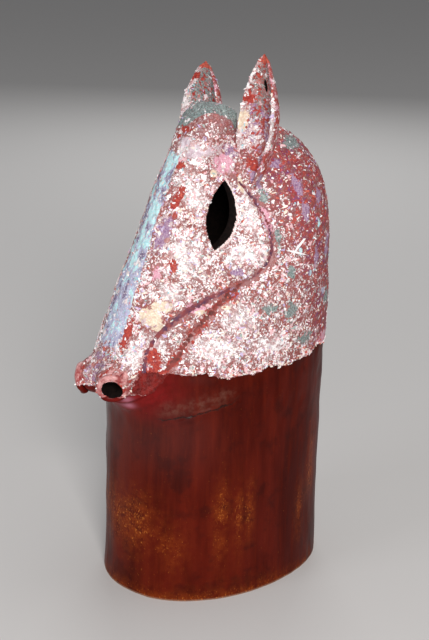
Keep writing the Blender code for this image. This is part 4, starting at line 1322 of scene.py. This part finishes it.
# %% Crumbs along the crust's edge
near_edge = np.abs(crust_height(middles) - 0.0020) < 0.0018
strew("crust_crumbs", 420, near_edge * shown * (on_triangles("lip") < 0.3), 0.00005, 0.30,
      (0.0005, 0.0011), (1.0, 1.5), (0.0005, 0.0010),
      [WHITE, WHITE, ROSE, ROSE, CORAL, CREAM], random)

# %% [markdown]
# ## A pale table and soft light
# The floor is a wide disc, and four square lamps stand in for a window and the room around it.
# The camera looks from the horse's left, a little from above.

# %% Stage and lamps
FLOOR_RADIUS, FLOOR_CORNERS = 9, 96


def lamp(name, place, target, size, power, colour=(1, 1, 1)):
    data = bpy.data.lights.new(name, "AREA")
    data.size, data.energy, data.color = size, power, colour
    made = bpy.data.objects.new(name, data)
    made.location = place
    made.rotation_euler = (Vector(target) - Vector(place)).to_track_quat("-Z", "Y").to_euler()
    bpy.context.scene.collection.objects.link(made)


turn = turns(FLOOR_CORNERS)
disc = FLOOR_RADIUS * np.stack([np.cos(turn), np.sin(turn), np.zeros(FLOOR_CORNERS)], -1)
floor = new_object("floor", disc, [np.arange(FLOOR_CORNERS)[None]])
floor.data.materials.append(new_material("pale_floor", {
    "Base Color": (0.62, 0.61, 0.60, 1), "Roughness": 0.8})[0])
lamp("key", (1.95, -1.15, 1.35), (0, 0, 0.3), 0.7, 52, (1.0, 0.965, 0.94))
lamp("front", (-0.15, -2.1, 0.9), (0, 0, 0.25), 0.8, 9, (0.92, 0.95, 1.0))
lamp("top", (0.2, 0.6, 2.6), (0, 0, 0.3), 1.6, 10)
lamp("back", (-1.6, 1.4, 1.3), (0, 0, 0.3), 1.2, 12)
world = bpy.data.worlds.new("studio")
world.use_nodes = True
sky = world.node_tree.nodes["Background"].inputs
sky["Color"].default_value = (0.9, 0.9, 0.92, 1)
sky["Strength"].default_value = 0.22
bpy.context.scene.world = world
bpy.context.scene.view_settings.view_transform = "Standard"
print("lamps:", [data.name for data in bpy.data.lights])

# %% Camera
CAMERA_PLACE = Vector((0.98573, -0.77352, 0.71610))      # from the foot of the neck's axis

azimuth, height_angle, roll = math.radians(52), math.radians(20), math.radians(1.5)
camera_data = bpy.data.cameras.new("camera")
camera_data.lens, camera_data.sensor_width = 75, 36
camera = bpy.data.objects.new("camera", camera_data)
forward = Vector((-math.sin(azimuth) * math.cos(height_angle),
                  math.cos(azimuth) * math.cos(height_angle), -math.sin(height_angle)))
right = Vector((math.cos(azimuth), math.sin(azimuth), 0))
tilted = right * math.cos(roll) + right.cross(forward) * math.sin(roll)
facing = Matrix((tilted, tilted.cross(forward), -forward)).transposed().to_4x4()
camera.matrix_world = Matrix.Translation(CAMERA_PLACE + Vector(NECK_AXIS)) @ facing
bpy.context.scene.collection.objects.link(camera)
bpy.context.scene.camera = camera
print("the camera stands", round(CAMERA_PLACE.length, 2), "m from the foot of the neck")
